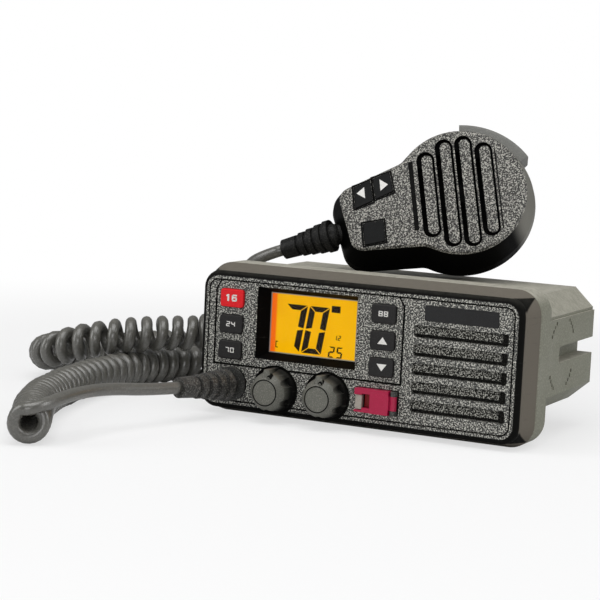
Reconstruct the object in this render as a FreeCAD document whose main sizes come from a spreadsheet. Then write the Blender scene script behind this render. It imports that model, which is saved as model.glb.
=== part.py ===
"""Fixed-mount marine radio with its fist microphone and curly cord.

Frame: +X is the right-hand side of the front panel, +Y runs to the rear and +Z is up.
The origin lies on the standing plane, straight below the middle of the bracket's pivot axis.
"""
import FreeCAD, Part
import math
import os

import Sketcher

Vector = FreeCAD.Vector
doc = FreeCAD.newDocument("marine_radio")

# ---------------------------------------------------------------- driving dimensions (mm)
DIMENSIONS = {
    # case
    "case_width": 160.0,
    "case_height": 68.4,
    "case_corner": 11.0,
    "rim_flare": 2.8,
    "face_to_pivot": 47.4,
    "face_round": 3.2,
    "frame_line_inset": 0.5,
    "frame_line_width": 0.7,
    "frame_line_depth": 0.4,
    "face_proud": 4.4,
    "rim_depth": 9.2,
    "gasket_thick": 0.7,
    "flange_depth": 12.6,
    "pivot_to_rear": 43.8,
    "panel_wall": 2.6,
    "case_wall": 2.2,
    "body_inset": 1.0,
    "body_drop": 4.4,
    "body_bottom": 12.0,
    "chamfer_width": 9.7,
    "chamfer_height": 8.5,
    "ledge_step": 0.8,
    "ledge_height": 1.3,
    "pivot_height": 38.0,
    "bracket_slot_height": 7.3,
    "bracket_slot_depth": 7.0,
    "tooth_ring_radius": 16.8,
    "tooth_depth": 0.7,
    "tooth_width": 1.7,
    # keys
    "key_width": 11.6,
    "key_height": 8.2,
    "key_corner": 1.4,
    "key_top_margin": 14.8,
    "key_bottom_row": 30.1,
    "key_margin": 18.7,
    "key_right": 13.3,
    "key_proud": 1.2,
    "key_clearance": 0.25,
    "key_lip": 0.8,
    "key_travel": 0.8,
    # display
    "display_left_gap": 11.5,
    "display_right_gap": 11.7,
    "display_top_margin": 7.5,
    "display_bottom": 26.5,
    "window_side_bevel": 4.2,
    "window_top_bevel": 3.5,
    "window_offset": 0.2,
    "display_recess": 7.2,
    "window_thick": 1.2,
    "module_thick": 3.6,
    # face relief
    "groove_width": 0.9,
    "groove_depth": 0.7,
    "groove_margin": 10.4,
    "groove_right": 22.6,
    "groove_bottom": 23.4,
    "plate_left": 32.2,
    "plate_margin": 13.8,
    "plate_height": 6.9,
    "plate_top_margin": 9.1,
    "plate_thick": 0.9,
    # loudspeaker
    "slot_left": 27.7,
    "slot_margin": 9.0,
    "slot_height": 5.4,
    "slot_top_margin": 20.8,
    "slot_bottom_row": 14.8,
    "fin_height": 3.5,
    "fin_raise": 0.6,
    "fin_set_back": 0.8,
    "speaker_radius": 21.0,
    "speaker_depth": 15.0,
    "magnet_radius": 12.0,
    "cloth_thick": 0.5,
    # rotary knobs
    "knob_z": 14.2,
    "knob_base_radius": 9.8,
    "knob_shoulder_radius": 8.4,
    "knob_disc_radius": 5.6,
    "knob_height": 11.0,
    "knob_shoulder": 8.0,
    "knob_well_radius": 11.2,
    "knob_well_depth": 1.0,
    "knob_clearance": 0.4,
    "shaft_radius": 3.0,
    "shaft_clearance": 0.05,
    "control_radius": 8.0,
    # distress control
    "cover_left": 2.2,
    "cover_right": 18.9,
    "cover_bottom": 9.8,
    "cover_top": 20.4,
    "cover_thick": 2.4,
    "cover_boss": 1.0,
    "cover_gap": 0.3,
    "hinge_x": 20.5,
    "hinge_radius": 1.5,
    "hinge_pin_radius": 0.5,
    "hinge_clearance": 0.05,
    "tray_wall": 1.6,
    "tray_depth": 7.4,
    "button_travel": 0.9,
    # cord outlet on the panel
    "outlet_margin": 19.7,
    "outlet_z": 14.8,
    "collar_radius": 7.8,
    "collar_proud": 2.0,
    "boot_neck": 4.4,
    "boot_radius": 7.0,
    "boot_tip_radius": 4.9,
    "boot_length": 31.0,
    "boot_turn": 18.0,
    "cord_diameter": 5.8,
    # inside and rear
    "board_thick": 1.6,
    "board_set_back": 12.4,
    "sink_half_width": 50.0,
    "sink_front": -15.0,
    "sink_rear": 38.0,
    "sink_base": 3.0,
    "fin_thick": 2.0,
    "fin_pitch": 8.0,
    "socket_x": 46.0,
    "socket_radius": 7.9,
    "socket_length": 12.0,
    "socket_flange": 25.4,
    "inlet_x": -30.0,
    "inlet_radius": 6.5,
    "insert_radius": 4.2,
    "insert_bore": 2.1,
    "screw_radius": 1.7,
    "screw_head_radius": 3.2,
    # handset, in its own frame: X towards the head, Y to the back, Z across
    "mic_head_radius": 30.4,
    "mic_tail_length": 55.0,
    "mic_tail_half": 14.8,
    "mic_tail_corner": 6.0,
    "mic_tail_angle": 11.0,
    "mic_neck_radius": 12.0,
    "mic_front_depth": 14.0,
    "mic_widest_depth": 19.0,
    "mic_depth": 33.0,
    "mic_front_flare": 3.8,
    "mic_widest_flare": 4.4,
    "mic_back_inset": 1.0,
    "mic_wall": 2.2,
    "mic_seam": 0.1,
    "mic_yaw": 20.0,
    "mic_lean": 24.0,
    "mic_rise": 19.0,
    "mic_seat_x": 19.5,
    "mic_seat_y": 19.0,
    "mic_seat_gap": 0.3,
    "grille_slant": 9.5,
    "grille_first": -14.8,
    "grille_pitch": 9.03,
    "grille_width": 8.3,
    "grille_depth": 1.5,
    "grille_slit": 1.7,
    "grille_bar": 4.8,
    "grille_bar_shift": 0.6,
    "grille_bar_drop": 0.3,
    "grille_margin": 2.0,
    "ptt_from": 20.0,
    "ptt_to": 76.0,
    "ptt_floor": 28.4,
    "ptt_inner": 31.6,
    "ptt_outer": 38.6,
    "ptt_front": 12.0,
    "ptt_rear": 25.0,
    "ptt_gap": 0.35,
    "ptt_travel": 1.2,
    "mic_key_proud": 0.7,
    "mic_key_travel": 0.8,
    "mic_key_gap": 0.25,
    "mic_board_depth": 9.6,
    "mic_boot_length": 25.0,
    "mic_boot_knee": 3.2,
    "mic_boot_back": 20.0,
    "mic_boot_up": 5.6,
    "mic_boot_radius": 7.6,
    "mic_boot_tip": 5.0,
    "mic_boot_neck": 4.6,
    "stud_radius": 7.5,
    "stud_neck": 4.0,
    "stud_length": 6.0,
    # curly cord
    "coil_diameter": 19.0,
    "lead_sink": 2.0,
}

# places and sizes that follow from the ones above, as sheet formulas
DERIVED = {
    "body_width": "case_width - 2 * body_inset",
    "body_top": "case_height - body_drop",
    "key_left": "key_margin - case_width / 2",
    "key_top_row": "case_height - key_top_margin",
    "key_pitch": "(key_top_row - key_bottom_row) / 2",
    "groove_left": "groove_margin - case_width / 2",
    "display_width": "key_right - display_right_gap - key_left - display_left_gap",
    "display_centre": "(key_right - display_right_gap + key_left + display_left_gap) / 2",
    "display_height": "case_height - display_top_margin - display_bottom",
    "display_middle": "display_bottom + display_height / 2",
    "window_width": "display_width - 2 * window_side_bevel",
    "window_height": "display_height - 2 * window_top_bevel",
    "plate_right": "case_width / 2 - plate_margin",
    "plate_top": "case_height - plate_top_margin",
    "plate_bottom": "plate_top - plate_height",
    "slot_right": "case_width / 2 - slot_margin",
    "slot_top_row": "case_height - slot_top_margin",
    "slot_pitch": "(slot_top_row - slot_bottom_row) / 4",
    "speaker_x": "(slot_left + slot_right) / 2",
    "speaker_z": "(slot_top_row + slot_bottom_row) / 2",
    "outlet_x": "outlet_margin - case_width / 2",
    "knob_gap": "(cover_left - outlet_x - collar_radius - 4 * knob_well_radius) / 3",
    "knob_left": "outlet_x + collar_radius + knob_gap + knob_well_radius",
    "knob_right": "knob_left + 2 * knob_well_radius + knob_gap",
}

dims = doc.addObject("Spreadsheet::Sheet", "dims")
formulas = {alias: "=" + formula for alias, formula in DERIVED.items()}
for row, (alias, value) in enumerate({**DIMENSIONS, **formulas}.items(), start=1):
    dims.set(f"A{row}", alias)
    dims.set(f"B{row}", str(value))
    dims.setAlias(f"B{row}", alias)
doc.recompute()


def size(alias):
    """A driving dimension as a number, for shapes that are set in code."""
    return float(getattr(dims, alias))


def number(expression):
    return float(dims.evalExpression(expression))


class Sizes:
    """Spells a sheet cell inside an expression: D.case_width gives 'dims.case_width'."""

    def __getattr__(self, alias):
        return "dims." + alias


D = Sizes()

# planes and lines that several pieces share, as expressions
FACE = f"-{D.face_to_pivot}"
PANEL_BACK = f"({FACE} + {D.panel_wall})"
RIM = f"({FACE} + {D.face_proud})"
SEAM = f"({RIM} + {D.rim_depth})"
FLANGE = f"({SEAM} + {D.gasket_thick})"
BODY = f"({FLANGE} + {D.flange_depth})"
REAR = D.pivot_to_rear
BOARD = f"({FACE} + {D.board_set_back})"
MIDDLE = f"({D.case_height} / 2)"
RIM_WIDTH = f"({D.case_width} - 2 * {D.rim_flare})"
RIM_HEIGHT = f"({D.case_height} - 2 * {D.rim_flare})"
RIM_CORNER = f"({D.case_corner} - {D.rim_flare})"

NODES = []  # every finished sub-part, in the order it was made


# ---------------------------------------------------------------- building helpers
def node(label, item):
    """Name a finished sub-part and put it on the list that is written out."""
    item.Label = label
    NODES.append(item)
    return item


def plane_of(body, role):
    return next(item for item in body.Origin.OriginFeatures if item.Role == role)


def new_body(label):
    return doc.addObject("PartDesign::Body", label + "_body")


def sketch_on(body, role, offset):
    """A sketch on one of the body's origin planes, moved along the plane's normal by offset."""
    sketch = body.newObject("Sketcher::SketchObject", body.Name + "_sketch")
    sketch.AttachmentSupport = [(plane_of(body, role), "")]
    sketch.MapMode = "FlatFace"
    sketch.setExpression("AttachmentOffset.Base.z", offset)
    return sketch


def facing_sketch(body, y):
    """A sketch in the XZ plane at depth y. Its normal points to the front, along -Y."""
    return sketch_on(body, "XZ_Plane", f"-({y})")


def drive(sketch, constraint, expression):
    """Add a constraint whose value follows an expression."""
    index = sketch.addConstraint(constraint)
    sketch.setExpression(f"Constraints[{index}]", expression)


def place_point(sketch, edge, point, x, y):
    drive(sketch, Sketcher.Constraint("DistanceX", edge, point, number(x)), x)
    drive(sketch, Sketcher.Constraint("DistanceY", edge, point, number(y)), y)


def draw_circle(sketch, x, y, radius):
    centre = Vector(number(x), number(y), 0)
    circle = sketch.addGeometry(Part.Circle(centre, Vector(0, 0, 1), number(radius)), False)
    place_point(sketch, circle, 3, x, y)
    drive(sketch, Sketcher.Constraint("Radius", circle, number(radius)), radius)


def draw_polygon(sketch, corners):
    """A closed outline of straight edges through corners given as pairs of expressions."""
    points = [Vector(number(x), number(y), 0) for x, y in corners]
    count = len(points)
    edges = []
    for i in range(count):
        edges.append(sketch.addGeometry(Part.LineSegment(points[i], points[(i + 1) % count]), False))
    for i in range(count):
        sketch.addConstraint(Sketcher.Constraint("Coincident", edges[i], 2, edges[(i + 1) % count], 1))
        place_point(sketch, edges[i], 1, *corners[i])


def draw_rectangle(sketch, x, y, radius=None):
    """A rectangle from its low and high x and y, with one corner radius if given."""
    if radius is None:
        draw_polygon(sketch, [(x[0], y[0]), (x[1], y[0]), (x[1], y[1]), (x[0], y[1])])
        return
    low_x, high_x = number(x[0]), number(x[1])
    low_y, high_y = number(y[0]), number(y[1])
    r = number(radius)
    straight = [
        ((low_x + r, low_y), (high_x - r, low_y), "Horizontal"),
        ((high_x, low_y + r), (high_x, high_y - r), "Vertical"),
        ((high_x - r, high_y), (low_x + r, high_y), "Horizontal"),
        ((low_x, high_y - r), (low_x, low_y + r), "Vertical"),
    ]
    centres = [(high_x - r, low_y + r, 270), (high_x - r, high_y - r, 0),
               (low_x + r, high_y - r, 90), (low_x + r, low_y + r, 180)]
    lines = []
    arcs = []
    for (start, end, direction), (cx, cy, turn) in zip(straight, centres):
        segment = Part.LineSegment(Vector(*start, 0), Vector(*end, 0))
        lines.append(sketch.addGeometry(segment, False))
        circle = Part.Circle(Vector(cx, cy, 0), Vector(0, 0, 1), r)
        arc = Part.ArcOfCircle(circle, math.radians(turn), math.radians(turn + 90))
        arcs.append(sketch.addGeometry(arc, False))
        sketch.addConstraint(Sketcher.Constraint(direction, lines[-1]))
    for i in range(4):
        sketch.addConstraint(Sketcher.Constraint("Tangent", lines[i], 2, arcs[i], 1))
        sketch.addConstraint(Sketcher.Constraint("Tangent", arcs[i], 2, lines[(i + 1) % 4], 1))
    for i in range(1, 4):
        sketch.addConstraint(Sketcher.Constraint("Equal", arcs[0], arcs[i]))
    drive(sketch, Sketcher.Constraint("Radius", arcs[0], r), radius)
    drive(sketch, Sketcher.Constraint("DistanceY", lines[0], 1, low_y), y[0])
    drive(sketch, Sketcher.Constraint("DistanceX", lines[1], 1, high_x), x[1])
    drive(sketch, Sketcher.Constraint("DistanceY", lines[2], 1, high_y), y[1])
    drive(sketch, Sketcher.Constraint("DistanceX", lines[3], 1, low_x), x[0])


def extrude(body, kind, sketch, length, name):
    feature = body.newObject("PartDesign::" + kind, name)
    feature.Profile = sketch
    feature.setExpression("Length", length)
    sketch.Visibility = False
    doc.recompute()
    return feature


def pad(body, sketch, length):
    return extrude(body, "Pad", sketch, length, body.Name + "_pad")


def pocket(body, sketch, length):
    """Cut from the sketch towards the rear, and stop if nothing was removed."""
    before = body.Shape.Volume
    feature = extrude(body, "Pocket", sketch, length, body.Name + "_pocket")
    if body.Shape.Volume > before - 1e-6:
        raise RuntimeError(f"{feature.Name} removed nothing")
    return feature


def centred(middle, width):
    return (f"{middle} - ({width}) / 2", f"{middle} + ({width}) / 2")


def prism(body, x, z, front, rear, radius=None):
    """Pad a rectangle, rounded if a radius is given, between two depths."""
    sketch = facing_sketch(body, rear)
    draw_rectangle(sketch, x, z, radius)
    return pad(body, sketch, f"({rear}) - ({front})")


def sink_rectangle(body, x, z, front, depth, radius=None):
    """Pocket a rectangle from the front plane towards the rear."""
    sketch = facing_sketch(body, front)
    draw_rectangle(sketch, x, z, radius)
    return pocket(body, sketch, depth)


def sink_circle(body, x, z, radius, front, depth):
    sketch = facing_sketch(body, front)
    draw_circle(sketch, x, z, radius)
    return pocket(body, sketch, depth)


def round_edges(body, radius, chosen):
    """Fillet the edges of the body for which chosen(edge) holds."""
    names = [f"Edge{i}" for i, edge in enumerate(body.Shape.Edges, start=1) if chosen(edge)]
    base = body.Tip
    fillet = body.newObject("PartDesign::Fillet", body.Name + "_round")
    fillet.Base = (base, names)
    fillet.setExpression("Radius", radius)
    doc.recompute()
    return fillet


def lies_at_depth(edge, y):
    return abs(edge.BoundBox.YMin - y) < 1e-4 and abs(edge.BoundBox.YMax - y) < 1e-4


AXIS_TURN = {
    "x": FreeCAD.Rotation(Vector(0, 1, 0), 90),
    "y": FreeCAD.Rotation(Vector(1, 0, 0), -90),
    "z": FreeCAD.Rotation(),
}


def put(item, x, y, z, axis="z"):
    item.Placement = FreeCAD.Placement(Vector(), AXIS_TURN[axis])
    item.setExpression("Placement.Base.x", x)
    item.setExpression("Placement.Base.y", y)
    item.setExpression("Placement.Base.z", z)
    return item


def block(name, x, y, z):
    """A Part box from its low and high expressions on each axis."""
    item = doc.addObject("Part::Box", name)
    for prop, (low, high) in zip(("Length", "Width", "Height"), (x, y, z)):
        item.setExpression(prop, f"({high}) - ({low})")
    return put(item, x[0], y[0], z[0])


def rod(name, start, radius, length, axis="y"):
    """A Part cylinder from a start point along an axis."""
    item = doc.addObject("Part::Cylinder", name)
    item.setExpression("Radius", radius)
    item.setExpression("Height", length)
    return put(item, *start, axis)


def taper(name, start, radius, end_radius, length, axis="y"):
    item = doc.addObject("Part::Cone", name)
    item.setExpression("Radius1", radius)
    item.setExpression("Radius2", end_radius)
    item.setExpression("Height", length)
    return put(item, *start, axis)


def fuse(name, pieces):
    item = doc.addObject("Part::MultiFuse", name)
    item.Shapes = pieces
    item.Refine = True
    return item


def cut(name, base, tools):
    item = doc.addObject("Part::Cut", name)
    item.Base = base
    item.Tool = tools[0] if len(tools) == 1 else fuse(name + "_tools", tools)
    return item


def group(name, pieces):
    item = doc.addObject("Part::Compound", name)
    item.Links = pieces
    return item


KEY_ROWS = [f"({D.key_top_row} - {row} * {D.key_pitch})" for row in range(3)]
SLOT_ROWS = [f"({D.slot_top_row} - {row} * {D.slot_pitch})" for row in range(5)]
KEYS = {
    "key_calling": (D.key_left, KEY_ROWS[0]),
    "key_channel": (D.key_left, KEY_ROWS[1]),
    "key_menu": (D.key_left, KEY_ROWS[2]),
    "key_scan": (D.key_right, KEY_ROWS[0]),
    "key_up": (D.key_right, KEY_ROWS[1]),
    "key_down": (D.key_right, KEY_ROWS[2]),
}
KNOBS = {"volume": D.knob_left, "squelch": D.knob_right}


# ---------------------------------------------------------------- front panel
def front_panel():
    """Moulded bezel: flared side wall, rounded proud face, openings and bosses."""
    body = new_body("front_panel")
    wide = facing_sketch(body, SEAM)
    draw_rectangle(wide, centred("0", D.case_width), ("0", D.case_height), D.case_corner)
    flare = pad(body, wide, D.rim_depth)
    flare.setExpression("TaperAngle", f"-atan({D.rim_flare} / {D.rim_depth})")
    doc.recompute()
    rim_z = centred(MIDDLE, RIM_HEIGHT)
    prism(body, centred("0", RIM_WIDTH), rim_z, FACE, f"{RIM} + 0.02", RIM_CORNER)
    face = number(FACE)
    round_edges(body, D.face_round, lambda edge: lies_at_depth(edge, face))

    cavity = facing_sketch(body, PANEL_BACK)
    wall = f"({D.rim_flare} + {D.case_wall})"
    draw_rectangle(cavity, centred("0", f"{D.case_width} - 2 * {wall}"),
                   centred(MIDDLE, f"{D.case_height} - 2 * {wall}"), f"{RIM_CORNER} - {D.case_wall}")
    pocket(body, cavity, f"{SEAM} - {PANEL_BACK}")

    through = f"({D.panel_wall})"
    clearance = D.key_clearance
    for x, z in KEYS.values():
        sink_rectangle(body, centred(x, f"{D.key_width} + 2 * {clearance}"),
                       centred(z, f"{D.key_height} + 2 * {clearance}"), FACE, through,
                       f"{D.key_corner} + {clearance}")
    sink_rectangle(body, centred(D.display_centre, D.display_width),
                   centred(D.display_middle, D.display_height), FACE, through, "1.5")
    for z in SLOT_ROWS:
        sink_rectangle(body, (D.slot_left, D.slot_right), centred(z, D.slot_height), FACE, through, "1.2")
    for x in KNOBS.values():
        sink_circle(body, x, D.knob_z, D.knob_well_radius, FACE, D.knob_well_depth)
        sink_circle(body, x, D.knob_z, f"{D.shaft_radius} + 1.1", FACE, through)
    sink_circle(body, D.outlet_x, D.outlet_z, f"{D.boot_neck} + 1.6", FACE, through)
    sink_rectangle(body, (f"{D.cover_left} - 0.3", f"{D.hinge_x} + {D.hinge_radius} + 0.3"),
                   (f"{D.cover_bottom} - 0.3", f"{D.cover_top} + 0.3"), FACE, through, "0.8")
    sink_rectangle(body, (D.plate_left, D.plate_right), (D.plate_bottom, D.plate_top), FACE,
                   f"{D.plate_thick} - 0.2", "0.8")
    face_groove(body)
    frame_line(body)
    speaker_fins(body)
    panel_bosses(body)
    return node("front_panel", body)


# how the framing line leans inwards above the top keys, as across and up from its straight run
GROOVE_BEND = ((0.0, -0.02), (0.25, 1.4), (1.2, 2.9), (2.0, 4.1), (2.4, 5.3))


def face_groove(body):
    """The line that frames keys and display: left, bottom and right runs, bent at the top."""
    half = f"{D.groove_width} / 2"
    left = (f"{D.groove_left} - {half}", f"{D.groove_left} + {half}")
    right = (f"{D.groove_right} - {half}", f"{D.groove_right} + {half}")
    bottom = (f"{D.groove_bottom} - {half}", f"{D.groove_bottom} + {half}")
    top = f"{D.key_top_row} + 3"
    sketch = facing_sketch(body, FACE)
    draw_polygon(sketch, [
        (left[0], bottom[0]), (right[1], bottom[0]), (right[1], top), (right[0], top),
        (right[0], bottom[1]), (left[1], bottom[1]), (left[1], top), (left[0], top)])
    pocket(body, sketch, D.groove_depth)
    curved = facing_sketch(body, FACE)
    for base, lean in ((D.groove_left, 1), (D.groove_right, -1)):
        centre = [(f"{base} + {lean * across}", f"{top} + {up}") for across, up in GROOVE_BEND]
        draw_polygon(curved, [(f"{x} - {half}", z) for x, z in centre]
                     + [(f"{x} + {half}", z) for x, z in reversed(centre)])
    pocket(body, curved, D.groove_depth)


def frame_line(body):
    """The thin line round the flat of the face, just inside its rounded edge."""
    sketch = facing_sketch(body, FACE)
    for inset in (D.frame_line_inset, f"({D.frame_line_inset} + {D.frame_line_width})"):
        edge = f"({D.face_round} + {inset})"
        draw_rectangle(sketch, centred("0", f"{RIM_WIDTH} - 2 * {edge}"), centred(MIDDLE, f"{RIM_HEIGHT} - 2 * {edge}"),
                       f"{RIM_CORNER} - {edge}")
    pocket(body, sketch, D.frame_line_depth)


def speaker_fins(body):
    """One louvre fin in each loudspeaker slot, set back from the face."""
    front = f"{FACE} + {D.fin_set_back}"
    sketch = facing_sketch(body, PANEL_BACK)
    for z in SLOT_ROWS:
        draw_rectangle(sketch, (f"{D.slot_left} - 0.4", f"{D.slot_right} - 3.2"),
                       centred(f"{z} + {D.fin_raise}", D.fin_height))
    pad(body, sketch, f"{PANEL_BACK} - ({front})")


def panel_bosses(body):
    """Four posts that carry the control board, and four that take the case screws."""
    sketch = facing_sketch(body, BOARD)
    for x in (D.groove_left, f"{D.groove_right} - 0.4"):
        for z in (f"{D.groove_bottom} + 2.4", f"{D.key_top_row} + 6.6"):
            draw_circle(sketch, x, z, "1.9")
    pad(body, sketch, f"{BOARD} - {PANEL_BACK}")
    corner = facing_sketch(body, SEAM)
    for x in screw_columns():
        for z in screw_rows():
            draw_circle(corner, x, z, "2.9")
    pad(body, corner, f"{SEAM} - {PANEL_BACK}")
    holes = facing_sketch(body, f"{PANEL_BACK} + 0.8")
    for x in screw_columns():
        for z in screw_rows():
            draw_circle(holes, x, z, f"{D.screw_radius} + 0.02")
    pocket(body, holes, f"{SEAM} - {PANEL_BACK} - 0.8")


def screw_columns():
    return (f"-({D.body_width} / 2 - 5.5)", f"({D.body_width} / 2 - 5.5)")


def screw_rows():
    return (f"({D.body_bottom} + 14.5)", f"({D.body_top} - 9.5)")


# ---------------------------------------------------------------- rear case
def case_outline(sketch, inset):
    """The rear case seen from behind: chamfered edges with a small ledge under the upper ones."""
    half = f"({D.body_width} / 2 - ({inset}))"
    step = f"({half} - {D.ledge_step})"
    top = f"({D.body_top} - ({inset}))"
    bottom = f"({D.body_bottom} + ({inset}))"
    flat = f"({D.body_width} / 2 - {D.chamfer_width} - ({inset}) * 0.4)"
    shoulder = f"({D.body_top} - {D.chamfer_height} - ({inset}) * 0.5)"
    ledge = f"({shoulder} - {D.ledge_height})"
    foot = f"({D.body_bottom} + {D.chamfer_height} + ({inset}) * 0.5)"
    draw_polygon(sketch, [
        (f"-{flat}", bottom), (flat, bottom), (half, foot), (half, ledge), (step, ledge),
        (step, shoulder), (flat, top), (f"-{flat}", top), (f"-{step}", shoulder),
        (f"-{step}", ledge), (f"-{half}", ledge), (f"-{half}", foot)])


def rear_housing():
    """Flange, chamfered body, bracket slots open to the rear and rings of ratchet teeth."""
    body = new_body("rear_housing")
    prism(body, centred("0", D.case_width), ("0", D.case_height), FLANGE, BODY, D.case_corner)
    edges_front = number(FLANGE)
    round_edges(body, "1.2", lambda edge: lies_at_depth(edge, edges_front))
    outline = facing_sketch(body, REAR)
    case_outline(outline, "0")
    pad(body, outline, f"{REAR} - {FLANGE} - 2")
    cavity = facing_sketch(body, FLANGE)
    case_outline(cavity, D.case_wall)
    pocket(body, cavity, f"{REAR} - {FLANGE} - {D.case_wall}")

    slot_z = centred(D.pivot_height, D.bracket_slot_height)
    for side in ("-", ""):
        outer = f"{side}{D.body_width} / 2"
        inner = f"{side}({D.body_width} / 2 - {D.bracket_slot_depth})"
        low, high = (outer, inner) if side else (inner, outer)
        wall = f"{D.case_wall}"
        reach = f"{D.bracket_slot_height} / 2"
        box_low = low if side else f"{low} - {wall}"
        box_high = f"{high} + {wall}" if side else high
        prism(body, (box_low, box_high), (f"{slot_z[0]} - {wall}", f"{slot_z[1]} + {wall}"),
              f"-({reach} + {wall} + 5)", REAR)
        sketch = facing_sketch(body, f"-({reach})")
        past = (f"{low} - 1", high) if side else (low, f"{high} + 1")
        draw_rectangle(sketch, past, slot_z)
        pocket(body, sketch, f"{REAR} + {reach} + 1")
    insert_seats(body)
    tooth_rings(body)
    rear_openings(body)
    sink_openings(body)
    return node("rear_housing", body)


def insert_seats(body):
    """Stepped holes across the slots' closed ends, one each side, for the threaded inserts."""
    for side in ("-", ""):
        sketch = sketch_on(body, "YZ_Plane", f"{side}({D.body_width} / 2 - {D.bracket_slot_depth})")
        draw_circle(sketch, "0", D.pivot_height, f"{D.insert_radius} - 1.2")
        feature = body.newObject("PartDesign::Pocket", "insert_seat")
        feature.Profile = sketch
        feature.Reversed = bool(side)
        feature.setExpression("Length", f"{D.case_wall} + 1")
        doc.recompute()


def tooth_rings(body):
    """Four short arcs of ratchet teeth round each pivot, cut as small radial slots."""
    for side in ("-", ""):
        sketch = sketch_on(body, "YZ_Plane", f"{side}{D.body_width} / 2")
        for start in (32, 122, 212, 302):
            for step in range(4):
                turn = start + step * 8.7
                along = f"{D.tooth_ring_radius} * {math.cos(math.radians(turn)):.6f}"
                up = f"{D.pivot_height} + {D.tooth_ring_radius} * {math.sin(math.radians(turn)):.6f}"
                draw_rectangle(sketch, centred(along, D.tooth_width), centred(up, D.tooth_width))
        feature = body.newObject("PartDesign::Pocket", "tooth_ring")
        feature.Profile = sketch
        feature.Reversed = bool(side)
        feature.setExpression("Length", D.tooth_depth)
        before = body.Shape.Volume
        doc.recompute()
        if body.Shape.Volume > before - 1e-6:
            raise RuntimeError("the ratchet teeth removed nothing")


def rear_openings(body):
    """Holes in the rear wall for the antenna socket, the supply inlet and the case screws."""
    wall_front = f"{REAR} - {D.case_wall}"
    sketch = facing_sketch(body, wall_front)
    draw_circle(sketch, D.socket_x, D.pivot_height, f"{D.socket_radius} + 0.1")
    draw_circle(sketch, D.inlet_x, D.pivot_height, D.inlet_radius)
    for x in screw_columns():
        for z in screw_rows():
            draw_circle(sketch, x, z, f"{D.screw_radius} + 0.3")
    pocket(body, sketch, D.case_wall)
    tubes = facing_sketch(body, wall_front)
    for x in screw_columns():
        for z in screw_rows():
            draw_circle(tubes, x, z, "3.1")
            draw_circle(tubes, x, z, f"{D.screw_radius} + 0.3")
    pad(body, tubes, f"{wall_front} - {FLANGE}")


def sink_openings(body):
    """Four holes in the underside through which the heat sink is screwed to the chassis."""
    sketch = sketch_on(body, "XY_Plane", f"{D.body_bottom} + {D.case_wall}")
    for x in sink_screw_columns():
        for y in sink_screw_rows():
            draw_circle(sketch, x, y, "1.7")
    pocket(body, sketch, f"{D.case_wall} + 0.5")


def sink_screw_columns():
    return (f"-({D.sink_half_width} - 6)", f"({D.sink_half_width} - 6)")


def sink_screw_rows():
    return (f"({D.sink_front} + 6)", f"({D.sink_rear} - 6)")


def panel_gasket():
    """Thin black seal between bezel and rear case."""
    body = new_body("panel_gasket")
    prism(body, centred("0", f"{D.case_width} - 1"), ("0.5", f"{D.case_height} - 0.5"),
          SEAM, FLANGE, f"{D.case_corner} - 0.5")
    inset = f"({D.rim_flare} + {D.case_wall})"
    sink_rectangle(body, centred("0", f"{D.case_width} - 2 * {inset}"),
                   centred(MIDDLE, f"{D.case_height} - 2 * {inset}"), SEAM, D.gasket_thick, "6")
    return node("panel_gasket", body)


# ---------------------------------------------------------------- display and keys
def display_parts():
    """Bevelled frame, window, liquid-crystal module and the board behind them."""
    window_x = centred(f"{D.display_centre} + {D.window_offset}", D.window_width)
    window_z = centred(D.display_middle, D.window_height)
    seat = f"({FACE} + {D.display_recess})"
    body = new_body("display_frame")
    fit = "0.1"
    outer_x = centred(D.display_centre, f"{D.display_width} - 2 * {fit}")
    outer_z = centred(D.display_middle, f"{D.display_height} - 2 * {fit}")
    prism(body, outer_x, outer_z, f"{FACE} + 0.05", seat, "1.4")
    lip = "1.6"
    prism(body, (f"{outer_x[0]} - {lip}", f"{outer_x[1]} + {lip}"),
          (f"{outer_z[0]} - {lip}", f"{outer_z[1]} + {lip}"), f"{PANEL_BACK} + 0.05", seat)
    mouth = facing_sketch(body, f"{FACE} + 0.05")
    draw_rectangle(mouth, centred(D.display_centre, f"{D.display_width} - 2"),
                   centred(D.display_middle, f"{D.display_height} - 2"))
    throat = facing_sketch(body, f"{seat} - 0.6")
    draw_rectangle(throat, window_x, window_z)
    doc.recompute()
    bevel = body.newObject("PartDesign::SubtractiveLoft", "display_bevel")
    bevel.Profile = mouth
    bevel.Sections = [throat]
    bevel.Ruled = True
    doc.recompute()
    sink_rectangle(body, window_x, window_z, f"{seat} - 0.6", "0.6")
    node("display_frame", body)

    body = new_body("display_window")
    pane_x = (f"{window_x[0]} - 1.5", f"{window_x[1]} + 1.5")
    pane_z = (f"{window_z[0]} - 1.5", f"{window_z[1]} + 1.5")
    back = f"({seat} + {D.window_thick})"
    prism(body, pane_x, pane_z, seat, back, "1")
    node("display_window", body)

    body = new_body("display_module")
    prism(body, (f"{window_x[0]} - 2.2", f"{window_x[1]} + 2.2"),
          (f"{window_z[0]} - 2.2", f"{window_z[1]} + 2.2"), back, BOARD, "0.6")
    node("display_module", body)

    body = new_body("control_board")
    prism(body, (f"{D.groove_left} - 0.8", f"{D.groove_right} + 2.2"),
          (f"{D.groove_bottom} - 0.4", f"{D.key_top_row} + 9"), BOARD, f"{BOARD} + {D.board_thick}", "1.5")
    node("control_board", body)


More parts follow.
